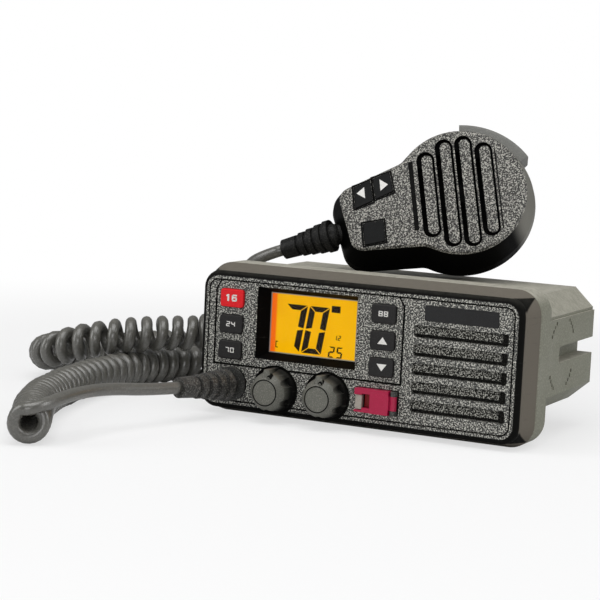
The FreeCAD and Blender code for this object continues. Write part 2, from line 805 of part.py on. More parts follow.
def panel_keys():
    """Six keys, each with a lip behind the panel, and a switch on the board for each."""
    switches = []
    for label, (x, z) in KEYS.items():
        body = new_body(label)
        front = f"({FACE} - {D.key_proud})"
        lip_front = f"({PANEL_BACK} + 0.1)"
        lip_back = f"({lip_front} + {D.key_lip})"
        prism(body, centred(x, D.key_width), centred(z, D.key_height), front, lip_back, D.key_corner)
        face = number(front)
        round_edges(body, "0.5", lambda edge, face=face: lies_at_depth(edge, face))
        prism(body, centred(x, f"{D.key_width} + 1.4"), centred(z, f"{D.key_height} + 1.4"),
              lip_front, lip_back, D.key_corner)
        node(label, body)
        plunger = f"({lip_back} + {D.key_travel} + 0.1)"
        case = block(f"{label}_switch_case", centred(x, "6"), (f"{plunger} + 0.9", BOARD), centred(z, "6"))
        cap = rod(f"{label}_switch_cap", (x, plunger, z), "1.7", "0.9")
        switches.append(fuse(f"{label}_switch", [case, cap]))
    node("key_switches", group("switch_group", switches))


def name_plate():
    body = new_body("name_plate")
    seat = f"({FACE} + {D.plate_thick} - 0.2)"
    prism(body, (f"{D.plate_left} + 0.1", f"{D.plate_right} - 0.1"),
          (f"{D.plate_bottom} + 0.1", f"{D.plate_top} - 0.1"), f"{FACE} - 0.2", seat, "0.7")
    node("name_plate", body)


# ---------------------------------------------------------------- rotary controls
def knob_profile(sketch, x, base, bore):
    """Half of a knob's section in the XY plane: skirt, shoulder and flat disc round a bore."""
    shoulder = f"({base} - {D.knob_shoulder})"
    front = f"({base} - {D.knob_height})"
    draw_polygon(sketch, [
        (f"{x} + {bore}", base), (f"{x} + {D.knob_base_radius}", base),
        (f"{x} + {D.knob_shoulder_radius}", shoulder), (f"{x} + {D.knob_disc_radius}", front),
        (x, front), (x, f"{front} + 2"), (f"{x} + {bore}", f"{front} + 2")])


def rotary_control(name, x):
    """Knob with grip hollows and a pointer, its shaft, and the potentiometer that turns."""
    base = f"({FACE} + {D.knob_well_depth} - {D.knob_clearance})"
    body = new_body(name + "_knob")
    sketch = sketch_on(body, "XY_Plane", D.knob_z)
    knob_profile(sketch, x, base, f"{D.shaft_radius} + 0.02")
    turn = body.newObject("PartDesign::Revolution", name + "_turn")
    turn.Profile = sketch
    axis = sketch.addGeometry(Part.LineSegment(Vector(number(x), -10, 0), Vector(number(x), 10, 0)), True)
    place_point(sketch, axis, 1, x, "-10")
    place_point(sketch, axis, 2, x, "10")
    turn.ReferenceAxis = (sketch, ["Axis0"])
    turn.Angle = 360
    doc.recompute()
    pointer = facing_sketch(body, base)
    half = "2.6"
    draw_polygon(pointer, [
        (f"{x} - {half}", D.knob_z + " + 5"), (f"{x} + {half}", D.knob_z + " + 5"),
        (f"{x} + 1.2", f"{D.knob_z} + {D.knob_base_radius} + 0.4"),
        (f"{x} - 1.2", f"{D.knob_z} + {D.knob_base_radius} + 0.4")])
    pad(body, pointer, f"{D.knob_height} - 1.2")
    hollows = facing_sketch(body, f"{base} - {D.knob_height}")
    for angle in (30, -30, -90, -150, 150):
        across = f"{x} + ({D.knob_base_radius} + 0.6) * {math.cos(math.radians(angle)):.6f}"
        up = f"{D.knob_z} + ({D.knob_base_radius} + 0.6) * {math.sin(math.radians(angle)):.6f}"
        draw_circle(hollows, across, up, "2.6")
    pocket(body, hollows, f"{D.knob_height} - 1.6")
    node(name + "_knob", body)

    shaft_back = f"({SEAM} - 0.9)"
    shaft_front = f"({base} - {D.knob_height} + 2)"
    shaft = rod(name + "_shaft_rod", (x, shaft_front, D.knob_z), D.shaft_radius,
                f"{shaft_back} - {shaft_front}")
    node(name + "_shaft", shaft)

    case_front = f"({PANEL_BACK})"
    case = rod(name + "_case", (x, case_front, D.knob_z), D.control_radius,
               f"{SEAM} - 0.3 - {case_front}")
    bore = rod(name + "_bore", (x, f"{case_front} - 1", D.knob_z),
               f"{D.shaft_radius} + {D.shaft_clearance}", f"{shaft_back} - {case_front} + 1.1")
    node(name + "_control", cut(name + "_control_cut", case, [bore]))


# ---------------------------------------------------------------- distress control
def distress_parts():
    """Sprung flip cover on a vertical pin, tray, button, switch and the cover's catch."""
    tray_x = (D.cover_left, f"{D.hinge_x} + {D.hinge_radius}")
    tray_z = (D.cover_bottom, D.cover_top)
    body = new_body("distress_tray")
    tray_front = f"({FACE} + 0.1)"
    tray_back = f"({tray_front} + {D.tray_depth})"
    prism(body, tray_x, tray_z, tray_front, tray_back, "0.6")
    prism(body, (f"{tray_x[0]} - 1.5", f"{tray_x[1]} + 1.5"), (f"{tray_z[0]} - 1.5", f"{tray_z[1]} + 1.5"),
          f"{PANEL_BACK} + 0.05", f"{PANEL_BACK} + 1.05")
    well_x = (f"{D.cover_left} + 3.6", f"{D.cover_right} - 1.2")
    well_z = (f"{D.cover_bottom} + {D.tray_wall}", f"{D.cover_top} - {D.tray_wall}")
    sink_rectangle(body, well_x, well_z, tray_front, f"{D.tray_depth} - 1.5", "0.5")
    node("distress_tray", body)

    button_back = f"({tray_back} - 1.5 - 0.8 - {D.button_travel} - 0.1)"
    body = new_body("distress_button")
    fit = "0.25"
    prism(body, (f"{well_x[0]} + {fit}", f"{well_x[1]} - {fit}"), (f"{well_z[0]} + {fit}", f"{well_z[1]} - {fit}"),
          f"{tray_front} + 0.2", button_back, "0.4")
    node("distress_button", body)
    middle_x = f"({well_x[0]} + {well_x[1]}) / 2"
    middle_z = f"({well_z[0]} + {well_z[1]}) / 2"
    switch = block("distress_switch_case", centred(middle_x, "6"), (f"{tray_back} - 2.3", f"{tray_back} - 1.5"),
                   centred(middle_z, "5"))
    node("distress_switch", switch)

    cover_back = f"({tray_front} - {D.cover_gap})"
    cover_front = f"({cover_back} - {D.cover_thick})"
    catch = block("catch_block", (f"{D.cover_left} + 0.3", f"{D.cover_left} + 3.3"),
                  (f"{cover_front} + 0.7", tray_front), (f"{D.cover_bottom} + 1.2", f"{D.cover_bottom} + 7.4"))
    node("distress_catch", catch)

    body = new_body("distress_cover")
    prism(body, (D.cover_left, f"{D.hinge_x}"), (D.cover_bottom, D.cover_top), cover_front, cover_back, "0.5")
    prism(body, (f"{D.cover_left} + 7.8", D.cover_right), (D.cover_bottom, D.cover_top),
          f"{cover_front} - {D.cover_boss}", cover_front, "0.5")
    knuckle = sketch_on(body, "XY_Plane", f"{D.cover_bottom} + 2.2")
    pin_y = f"({cover_back} - {D.hinge_radius})"
    draw_circle(knuckle, D.hinge_x, pin_y, D.hinge_radius)
    pad(body, knuckle, f"{D.cover_top} - {D.cover_bottom} - 4.4")
    for low, high in ((f"{D.cover_bottom} - 1", f"{D.cover_bottom} + 2.2"),
                      (f"{D.cover_top} - 2.2", f"{D.cover_top} + 1")):
        sink_rectangle(body, (f"{D.hinge_x} - {D.hinge_radius} - 0.3", f"{D.hinge_x} + 3"), (low, high),
                       f"{cover_front} - {D.cover_boss} - 1", f"{D.cover_thick} + {D.cover_boss} + 2")
    sink_rectangle(body, (f"{D.cover_left} + 3.6", f"{D.cover_left} + 7.8"),
                   (f"{D.cover_bottom} + 2", f"{D.cover_top} - 2.4"), f"{cover_front} - 2", f"{D.cover_thick} + 3")
    sink_rectangle(body, (f"{D.cover_left} - 1", f"{D.cover_left} + 3.61"),
                   (f"{D.cover_bottom} + 0.9", f"{D.cover_bottom} + 7.7"), f"{cover_front} - 2",
                   f"{D.cover_thick} + 3")
    hole = sketch_on(body, "XY_Plane", f"{D.cover_top} + 1")
    draw_circle(hole, D.hinge_x, pin_y, f"{D.hinge_pin_radius} + {D.hinge_clearance}")
    pocket(body, hole, f"{D.cover_top} - {D.cover_bottom} + 2")
    node("distress_cover", body)

    ears = []
    for name, low, high in (("lower", D.cover_bottom, f"{D.cover_bottom} + 2.1"),
                            ("upper", f"{D.cover_top} - 2.1", D.cover_top)):
        foot = block(f"hinge_foot_{name}", centred(D.hinge_x, f"2 * {D.hinge_radius}"),
                     (pin_y, tray_front), (low, high))
        knuckle = rod(f"hinge_knuckle_{name}", (D.hinge_x, pin_y, low), D.hinge_radius, "2.1", "z")
        ears.append(fuse(f"hinge_ear_{name}", [foot, knuckle]))
    bore = rod("hinge_bore", (D.hinge_x, pin_y, f"{D.cover_bottom} - 1"), f"{D.hinge_pin_radius} + 0.01",
               f"{D.cover_top} - {D.cover_bottom} + 2", "z")
    node("cover_hinge", cut("cover_hinge_cut", group("hinge_ears", ears), [bore]))
    pin = rod("hinge_pin_rod", (D.hinge_x, pin_y, f"{D.cover_bottom} + 0.1"), D.hinge_pin_radius,
              f"{D.cover_top} - {D.cover_bottom} - 0.2", "z")
    node("cover_pin", pin)


# ---------------------------------------------------------------- loudspeaker
def loudspeaker():
    front = f"({PANEL_BACK} + {D.cloth_thick})"
    body = new_body("speaker_cloth")
    prism(body, (f"{D.slot_left} - 1.5", f"{D.slot_right} - 0.5"),
          (f"{D.slot_top_row} - 4 * {D.slot_pitch} - 4", f"{D.slot_top_row} + 4"), PANEL_BACK, front, "2")
    node("speaker_cloth", body)
    at = (D.speaker_x, front, D.speaker_z)
    basket = fuse("basket_solid", [
        rod("basket_rim", at, D.speaker_radius, "2"),
        taper("basket_cone", (D.speaker_x, f"{front} + 2", D.speaker_z), f"{D.speaker_radius} - 1.5",
              D.magnet_radius, f"{D.speaker_depth} - 8"),
    ])
    hollow = taper("basket_hollow", (D.speaker_x, f"{front} - 0.01", D.speaker_z), f"{D.speaker_radius} - 2",
                   f"{D.magnet_radius} - 4", f"{D.speaker_depth} - 7")
    node("speaker_basket", cut("basket_cut", basket, [hollow]))
    cone_outer = taper("cone_outer", (D.speaker_x, f"{front} + 0.4", D.speaker_z), f"{D.speaker_radius} - 2.9",
                       "4", f"{D.speaker_depth} - 8.8")
    cone_inner = taper("cone_inner", (D.speaker_x, f"{front} + 0.39", D.speaker_z), f"{D.speaker_radius} - 3.7",
                       "2.6", f"{D.speaker_depth} - 9.6")
    node("speaker_cone", cut("cone_cut", cone_outer, [cone_inner]))
    magnet_front = f"({front} + {D.speaker_depth} - 6)"
    magnet = rod("magnet_rod", (D.speaker_x, magnet_front, D.speaker_z), D.magnet_radius, "7")
    node("speaker_magnet", magnet)


# ---------------------------------------------------------------- cord outlet
def cord_outlet():
    """Collar in the panel, its nut inside, and the ribbed boot that leans to the left."""
    bore = f"({D.boot_neck} + 0.1)"
    collar = fuse("collar_solid", [
        rod("collar_ring", (D.outlet_x, f"{FACE} - {D.collar_proud}", D.outlet_z), D.collar_radius,
            f"{D.collar_proud} - 0.05"),
        rod("collar_spigot", (D.outlet_x, f"{FACE} - 0.1", D.outlet_z), f"{D.boot_neck} + 1.5",
            f"{D.panel_wall} + 4.1"),
    ])
    hole = rod("collar_bore", (D.outlet_x, f"{FACE} - {D.collar_proud} - 1", D.outlet_z), bore,
               f"{D.panel_wall} + 12")
    node("cord_collar", cut("collar_cut", collar, [hole]))
    nut = rod("nut_disc", (D.outlet_x, f"{PANEL_BACK} + 0.05", D.outlet_z), "8", "2.6")
    thread = rod("nut_bore", (D.outlet_x, PANEL_BACK, D.outlet_z), f"{D.boot_neck} + 1.52", "4")
    node("collar_nut", cut("nut_cut", nut, [thread]))

    neck_back = number(f"{PANEL_BACK} + 4")
    mouth = number(f"{FACE} - {D.collar_proud} - 0.4")
    at = Vector(size("outlet_x"), 0, size("outlet_z"))
    neck = Part.makeCylinder(size("boot_neck"), neck_back - mouth + 2.5,
                             at + Vector(0, mouth - 2.5, 0), Vector(0, 1, 0))
    knee = at + Vector(0, mouth - 3, 0)
    boot = revolve_boot(size("boot_radius"), size("boot_tip_radius"), size("boot_length") - 2.5)
    boot.Placement = FreeCAD.Placement(knee, boot_rotation())
    solid = neck.fuse([Part.makeSphere(size("boot_neck") + 0.9, knee), boot]).removeSplitter()
    item = doc.addObject("Part::Feature", "cord_boot_solid")
    item.Shape = solid
    node("cord_boot", item)


def boot_rotation():
    """Turns +Z to the boot's direction: forwards, and to the left by boot_turn degrees."""
    lean = math.radians(size("boot_turn"))
    return FreeCAD.Rotation(Vector(0, 0, 1), Vector(-math.sin(lean), -math.cos(lean), 0.03))


def boot_tip():
    knee = Vector(size("outlet_x"), number(f"{FACE} - {D.collar_proud} - 0.4") - 3, size("outlet_z"))
    return knee + boot_rotation().multVec(Vector(0, 0, size("boot_length") - 2.5))


def revolve_boot(radius, tip_radius, length):
    """Ribbed strain relief along +Z: rings that shrink towards a plain sleeve."""
    rings = 4
    sleeve = length * 0.3
    pitch = (length - sleeve) / rings
    outline = [(0.0, 0.0)]
    for i in range(rings):
        share = i / rings
        r = radius + (tip_radius - radius) * share
        start = i * pitch
        outline += [(r, start), (r, start + pitch * 0.62),
                    (r - 1.5, start + pitch * 0.66), (r - 1.5, start + pitch)]
    outline += [(tip_radius, length - sleeve), (tip_radius - 0.3, length), (0.0, length)]
    points = [Vector(r, 0, along) for r, along in outline]
    face = Part.Face(Part.makePolygon(points + [points[0]]))
    return face.revolve(Vector(0, 0, 0), Vector(0, 0, 1), 360)


# ---------------------------------------------------------------- inside and rear fittings
def inside_parts():
    inner_bottom = f"({D.body_bottom} + {D.case_wall})"
    body = new_body("main_board")
    board_z = f"({D.pivot_height} - 9)"
    board = sketch_on(body, "XY_Plane", board_z)
    draw_rectangle(board, (f"-{D.body_width} / 2 + 18", f"{D.body_width} / 2 - 18"),
                   (f"{BODY} + 4", f"{REAR} - 6"), "2")
    pad(body, board, D.board_thick)
    for x in (f"-{D.body_width} / 2 + 22", f"{D.body_width} / 2 - 22"):
        for y in (f"{BODY} + 8", f"{REAR} - 10"):
            post = sketch_on(body, "XY_Plane", inner_bottom)
            draw_circle(post, x, y, "2.5")
            pad(body, post, f"{board_z} - {inner_bottom}")
    node("main_board", body)
    shield = block("shield_box", ("-46", "8"), (f"{BODY} + 8", f"{REAR} - 12"),
                   (f"{board_z} + {D.board_thick}", f"{board_z} + 11"))
    node("rf_shield", shield)
    power = block("power_box", (f"{D.socket_x} - 24", f"{D.socket_x} - 4"), ("-6", "18"),
                  (inner_bottom, f"{inner_bottom} + 7"))
    node("power_module", power)


def heat_sink():
    """Finned casting under the case. Its fin tips are level with the flange's lower edge."""
    body = new_body("heat_sink")
    half = D.sink_half_width
    depth = f"({D.sink_rear} - ({D.sink_front}))"
    base_top = f"({D.body_bottom} - 0.02)"
    plate = facing_sketch(body, D.sink_rear)
    draw_rectangle(plate, (f"-{half}", half), (f"{base_top} - {D.sink_base}", base_top))
    pad(body, plate, depth)
    fins = facing_sketch(body, D.sink_rear)
    count = int(number(f"{half} / {D.fin_pitch}"))
    for i in range(-count, count + 1):
        middle = f"({i} * {D.fin_pitch})"
        draw_rectangle(fins, centred(middle, D.fin_thick), ("0", f"{base_top} - {D.sink_base} + 0.01"))
    pad(body, fins, depth)
    holes = sketch_on(body, "XY_Plane", f"{base_top}")
    for x in sink_screw_columns():
        for y in sink_screw_rows():
            draw_circle(holes, x, y, "1.52")
    pocket(body, holes, f"{D.sink_base}")
    node("heat_sink", body)
    screws = []
    for i, x in enumerate(sink_screw_columns()):
        for j, y in enumerate(sink_screw_rows()):
            head = rod(f"sink_head_{i}{j}", (x, y, f"{D.body_bottom} + {D.case_wall}"), "2.7", "1.8", "z")
            stem = rod(f"sink_stem_{i}{j}", (x, y, f"{base_top} - {D.sink_base}"), "1.5",
                       f"{D.sink_base} + {D.case_wall} + 0.1", "z")
            screws.append(fuse(f"sink_screw_{i}{j}", [head, stem]))
    node("sink_screws", group("sink_screw_group", screws))


def rear_fittings():
    """Antenna socket, supply inlet, bracket inserts and the four long case screws."""
    flange_x = centred(D.socket_x, D.socket_flange)
    flange = block("socket_flange_plate", flange_x, (f"{REAR} + 0.02", f"{REAR} + 2"),
                   centred(D.pivot_height, D.socket_flange))
    barrel = rod("socket_barrel", (D.socket_x, f"{REAR} - {D.case_wall} - 4", D.pivot_height), D.socket_radius,
                 f"{D.socket_length} + {D.case_wall} + 6")
    shell = fuse("socket_shell", [flange, barrel])
    mouth = rod("socket_mouth", (D.socket_x, f"{REAR} + 4", D.pivot_height), f"{D.socket_radius} - 1.6",
                D.socket_length)
    post = rod("socket_post", (D.socket_x, f"{REAR} + 3.9", D.pivot_height), "4.2",
               f"{D.socket_length} - 4.4")
    bore = rod("socket_bore", (D.socket_x, f"{REAR} + 5", D.pivot_height), "2", D.socket_length)
    hollow_shell = cut("socket_hollow", shell, [mouth])
    node("antenna_socket", cut("socket_cut", fuse("socket_solid", [hollow_shell, post]), [bore]))

    outer = rod("inlet_outer", (D.inlet_x, f"{REAR} + 0.02", D.pivot_height), f"{D.inlet_radius} + 2", "3")
    stem = rod("inlet_stem", (D.inlet_x, f"{REAR} - {D.case_wall} - 2", D.pivot_height), f"{D.inlet_radius} - 0.05",
               f"{D.case_wall} + 3")
    hole = rod("inlet_hole", (D.inlet_x, f"{REAR} - 8", D.pivot_height), "3.5", "20")
    node("supply_inlet", cut("inlet_cut", fuse("inlet_solid", [outer, stem]), [hole]))

    inserts = []
    for side, direction in (("left", "-"), ("right", "")):
        floor = f"({D.body_width} / 2 - {D.bracket_slot_depth})"
        neck_start = f"{direction}{floor}"
        length = f"({D.case_wall} + 3)"
        low = f"{neck_start} - {length}" if side == "right" else neck_start
        head_low = f"{floor} - {D.case_wall} - 3" if side == "right" else f"-({floor} - {D.case_wall})"
        neck = rod(f"insert_neck_{side}", (low, "0", D.pivot_height), f"{D.insert_radius} - 1.25", length, "x")
        head = rod(f"insert_head_{side}", (head_low, "0", D.pivot_height), D.insert_radius, "3", "x")
        solid = fuse(f"insert_solid_{side}", [neck, head])
        bore = rod(f"insert_bore_{side}", (f"{low} - 1", "0", D.pivot_height), D.insert_bore,
                   f"{length} + 2", "x")
        inserts.append(cut(f"insert_{side}", solid, [bore]))
    node("bracket_inserts", group("insert_group", inserts))

    screws = []
    for i, x in enumerate(screw_columns()):
        for j, z in enumerate(screw_rows()):
            tip = f"({PANEL_BACK} + 1.4)"
            stem = rod(f"case_stem_{i}{j}", (x, tip, z), D.screw_radius, f"{REAR} - {tip} + 0.5")
            head = rod(f"case_head_{i}{j}", (x, f"{REAR} + 0.02", z), D.screw_head_radius, "2")
            screws.append(fuse(f"case_screw_{i}{j}", [stem, head]))
    node("case_screws", group("case_screw_group", screws))


# ---------------------------------------------------------------- handset
def rad(alias):
    return math.radians(size(alias))


def handset_axes():
    """World directions of the handset's own X (to the head), Y (to the back) and Z (across)."""
    yaw, lean, rise = rad("mic_yaw"), rad("mic_lean"), rad("mic_rise")
    up = Vector(0, 0, 1)
    outwards = Vector(math.sin(yaw), -math.cos(yaw), 0)
    front = outwards * math.cos(lean) + up * math.sin(lean)
    top = up * math.cos(lean) - outwards * math.sin(lean)
    along = Vector(math.cos(yaw), math.sin(yaw), 0)
    to_head = along * math.cos(rise) + top * math.sin(rise)
    across = top * math.cos(rise) - along * math.sin(rise)
    return to_head, front * -1.0, across


def handset_sections():
    """(growth of the outline, depth behind the face) from the front face to the back."""
    flare, widest = size("mic_front_flare"), size("mic_widest_flare")
    depth, inset = size("mic_depth"), size("mic_back_inset")
    return {
        "front": [(-0.9, 0.0), (0.0, 0.9), (flare, size("mic_front_depth"))],
        "rear": [(flare, size("mic_front_depth") + size("mic_seam")), (widest, size("mic_widest_depth")),
                 (-inset + 0.6, depth - 1.2), (-inset - 1.2, depth)],
    }


def handset_placement():
    """Stands the handset on its lower side wall, a small gap above the case's top face."""
    x_axis, y_axis, z_axis = handset_axes()
    centre_x, centre_z = corner_centre()
    lowest = 0.0
    reach = math.hypot(x_axis.z, z_axis.z)
    for growth, depth in handset_sections()["front"] + handset_sections()["rear"]:
        head = -(size("mic_head_radius") + growth) * reach
        tail = centre_x * x_axis.z - centre_z * z_axis.z - (size("mic_tail_corner") + growth) * reach
        lowest = min(lowest, min(head, tail) + depth * y_axis.z)
    height = size("body_top") + size("mic_seat_gap") - lowest
    turn = FreeCAD.Rotation(x_axis, y_axis, z_axis, "XYZ")
    return FreeCAD.Placement(Vector(size("mic_seat_x"), size("mic_seat_y"), height), turn)


def corner_centre():
    """Centre of the upper tail corner in the handset's X and Z."""
    corner, slope = size("mic_tail_corner"), rad("mic_tail_angle")
    return (-size("mic_tail_length") + corner,
            size("mic_tail_half") - corner * (1 - math.sin(slope)) / math.cos(slope))


def neck_centre():
    """Centre of the hollow curve that joins the upper flank to the head."""
    slope, neck = rad("mic_tail_angle"), size("mic_neck_radius")
    start_x = -size("mic_tail_length") - neck * math.sin(slope)
    start_z = size("mic_tail_half") + neck * math.cos(slope)
    along_x, along_z = math.cos(slope), math.sin(slope)
    dot = start_x * along_x + start_z * along_z
    reach = size("mic_head_radius") + neck
    step = -dot - math.sqrt(dot * dot - start_x ** 2 - start_z ** 2 + reach ** 2)
    return start_x + step * along_x, start_z + step * along_z


def teardrop(growth, depth):
    """Handset outline grown outwards by growth, at a depth behind the face."""
    head = size("mic_head_radius") + growth
    neck = size("mic_neck_radius") - growth
    corner = size("mic_tail_corner") + growth
    slope = rad("mic_tail_angle")
    out_x, out_z = -math.sin(slope), math.cos(slope)
    neck_x, neck_z = neck_centre()
    corner_x, corner_z = corner_centre()
    share = head / math.hypot(neck_x, neck_z)
    half_turn = math.atan2(out_z, out_x)
    middle = (half_turn + math.pi) / 2

    def at(x, z):
        return Vector(x, depth, z)

    on_head = (neck_x * share, neck_z * share)
    on_neck = (neck_x - out_x * neck, neck_z - out_z * neck)
    chord = ((on_head[0] + on_neck[0]) / 2 - neck_x, (on_head[1] + on_neck[1]) / 2 - neck_z)
    scale = neck / math.hypot(*chord)
    mid_neck = (neck_x + chord[0] * scale, neck_z + chord[1] * scale)
    on_corner = (corner_x + out_x * corner, corner_z + out_z * corner)
    mid_corner = (corner_x + math.cos(middle) * corner, corner_z + math.sin(middle) * corner)
    at_end = (corner_x - corner, corner_z)

    def mirrored(point):
        return (point[0], -point[1])

    edges = [
        Part.Arc(at(*on_head), at(head, 0), at(*mirrored(on_head))),
        Part.Arc(at(*mirrored(on_head)), at(*mirrored(mid_neck)), at(*mirrored(on_neck))),
        Part.LineSegment(at(*mirrored(on_neck)), at(*mirrored(on_corner))),
        Part.Arc(at(*mirrored(on_corner)), at(*mirrored(mid_corner)), at(*mirrored(at_end))),
        Part.LineSegment(at(*mirrored(at_end)), at(*at_end)),
        Part.Arc(at(*at_end), at(*mid_corner), at(*on_corner)),
        Part.LineSegment(at(*on_corner), at(*on_neck)),
        Part.Arc(at(*on_neck), at(*mid_neck), at(*on_head)),
    ]
    return Part.Wire([edge.toShape() for edge in edges])


def loft(sections):
    """Solid through teardrop outlines given as (growth, depth) pairs."""
    parts = []
    for first, second in zip(sections, sections[1:]):
        parts.append(Part.makeLoft([teardrop(*first), teardrop(*second)], True, True))
    solid = parts[0]
    for part in parts[1:]:
        solid = solid.fuse(part)
    return solid


def shell_of(name):
    wall = size("mic_wall")
    sections = handset_sections()[name]
    if name == "front":
        inner = [(-wall, wall), (sections[-1][0] - wall, sections[-1][1] + 0.01)]
    else:
        back = sections[-2]
        inner = [(sections[0][0] - wall, sections[0][1] - 0.01), (sections[1][0] - wall, sections[1][1]),
                 (back[0] - wall, size("mic_depth") - wall)]
    return loft(sections), loft(inner)


def sector(inner, outer, start, end, front, rear):
    """Part of a ring round the handset's Y axis between two angles, in degrees, and depths."""
    ring = Part.makeCylinder(outer, rear - front, Vector(0, front, 0), Vector(0, 1, 0))
    ring = ring.cut(Part.makeCylinder(inner, rear - front + 2, Vector(0, front - 1, 0), Vector(0, 1, 0)))
    corners = [Vector(0, front - 0.5, 0)]
    steps = 6
    for i in range(steps + 1):
        turn = math.radians(start + (end - start) * i / steps)
        far = outer * 1.6
        corners.append(Vector(far * math.cos(turn), front - 0.5, far * math.sin(turn)))
    wedge = Part.Face(Part.makePolygon(corners + [corners[0]]))
    return ring.common(wedge.extrude(Vector(0, rear - front + 1, 0)))


def slanted(x, z):
    """A point of the grille's slanted frame in the handset's X and Z."""
    turn = -rad("grille_slant")
    return (x * math.cos(turn) - z * math.sin(turn), x * math.sin(turn) + z * math.cos(turn))


def slanted_bar(x, half_width, low, high, front, depth):
    """Bar with round ends across the grille: x along the handset, low and high across it."""
    bottom, top = slanted(x, low + half_width), slanted(x, high - half_width)
    ends = [Part.makeCylinder(half_width, depth, Vector(px, front, pz), Vector(0, 1, 0))
            for px, pz in (bottom, top)]
    corners = [slanted(x - half_width, low + half_width), slanted(x + half_width, low + half_width),
               slanted(x + half_width, high - half_width), slanted(x - half_width, high - half_width)]
    outline = [Vector(px, front, pz) for px, pz in corners]
    middle = Part.Face(Part.makePolygon(outline + [outline[0]])).extrude(Vector(0, depth, 0))
    return middle.fuse(ends)


def quad(corners, front, depth):
    outline = [Vector(x, front, z) for x, z in corners]
    return Part.Face(Part.makePolygon(outline + [outline[0]])).extrude(Vector(0, depth, 0))


def grow_quad(corners, by):
    middle_x = sum(x for x, z in corners) / len(corners)
    middle_z = sum(z for x, z in corners) / len(corners)
    grown = []
    for x, z in corners:
        grown.append((x + math.copysign(by, x - middle_x), z + math.copysign(by, z - middle_z)))
    return grown


HANDSET_KEYS = {
    "mic_key_down": [(-49.0, -3.4), (-40.9, -0.4), (-41.3, 9.6), (-48.8, 6.8)],
    "mic_key_up": [(-39.3, 0.2), (-31.1, 3.3), (-32.1, 12.6), (-39.8, 10.2)],
    "mic_key_power": [(-46.2, -21.6), (-37.0, -20.6), (-37.0, -10.6), (-46.2, -11.4)],
}


def key_corners(label):
    return [slanted(x, z) for x, z in HANDSET_KEYS[label]]


def handset_node(label, shape):
    item = doc.addObject("Part::Feature", label + "_solid")
    item.Shape = shape
    item.Placement = handset_placement()
    return node(label, item)


def boot_axis_depth():
    return size("mic_front_depth") + size("mic_seam") / 2


def handset_shells():
    wall, gap = size("mic_wall"), size("ptt_gap")
    tub = sector(size("ptt_floor") - wall, size("ptt_outer") + 6, size("ptt_from") - 6.5, size("ptt_to") + 6.5,
                 size("ptt_front") - gap - wall, size("ptt_rear") + gap + wall)
    slot = sector(size("ptt_floor"), size("ptt_outer") + 8, size("ptt_from") - 2.3, size("ptt_to") + 2.3,
                  size("ptt_front") - gap, size("ptt_rear") + gap)
    tail = -size("mic_tail_length")
    boot_bore = Part.makeCylinder(size("mic_boot_neck"), 24, Vector(tail - 16, boot_axis_depth(), 0),
                                  Vector(1, 0, 0))
    shells = {}
    for name in ("front", "rear"):
        outer, inner = shell_of(name)
        shells[name] = outer.cut(inner).fuse(tub.common(outer)).cut(slot)
    head = size("mic_head_radius")
    posts = [(-46.0, 0.0), (14.0, -19.0), (-8.0, 20.0)]
    front, rear = shells["front"], shells["rear"]
    seam_front, seam_rear = size("mic_front_depth"), size("mic_front_depth") + size("mic_seam")
    for x, z in posts:
        front = front.fuse(Part.makeCylinder(2.6, seam_front - wall + 0.5, Vector(x, wall - 0.5, z), Vector(0, 1, 0)))
        rear_length = size("mic_depth") - wall + 0.5 - seam_rear
        rear = rear.fuse(Part.makeCylinder(3.4, rear_length, Vector(x, seam_rear, z), Vector(0, 1, 0)))
    for x, z in posts:
        front = front.cut(Part.makeCylinder(1.27, seam_front - wall - 1, Vector(x, wall + 1, z), Vector(0, 1, 0)))
        rear = rear.cut(Part.makeCylinder(1.5, 40, Vector(x, seam_rear - 1, z), Vector(0, 1, 0)))
        rear = rear.cut(Part.makeCylinder(2.8, 20, Vector(x, size("mic_depth") - 9, z), Vector(0, 1, 0)))
    for i in range(4):
        x = size("grille_first") + i * size("grille_pitch")
        reach = math.sqrt((head - size("grille_margin")) ** 2 - (abs(x) + size("grille_width") / 2) ** 2)
        hollow = slanted_bar(x, size("grille_width") / 2, -reach, reach, -1, 1 + size("grille_depth"))
        rail_x, margin = x + size("grille_bar_shift"), (size("grille_width") - size("grille_bar")) / 2
        rail = slanted_bar(rail_x, size("grille_bar") / 2, -reach + margin, reach - margin, size("grille_bar_drop"), wall)
        front = front.cut(hollow.cut(rail))
        slit_x = x - size("grille_width") / 2 + size("grille_slit") / 2 + 0.3
        front = front.cut(slanted_bar(slit_x, size("grille_slit") / 2, -reach + 7, reach - 7, -1, 1 + wall + 1))
    for label in HANDSET_KEYS:
        front = front.cut(quad(grow_quad(key_corners(label), size("mic_key_gap")), -1, wall + 3.4))
    front = front.cut(boot_bore)
    rear = rear.cut(boot_bore)
    stud_bore = Part.makeCylinder(1.5, 20, Vector(0, size("mic_depth") - 6, 0), Vector(0, 1, 0))
    rear = rear.cut(stud_bore)
    handset_node("mic_front_shell", front.removeSplitter())
    handset_node("mic_rear_shell", rear.removeSplitter())
    return posts


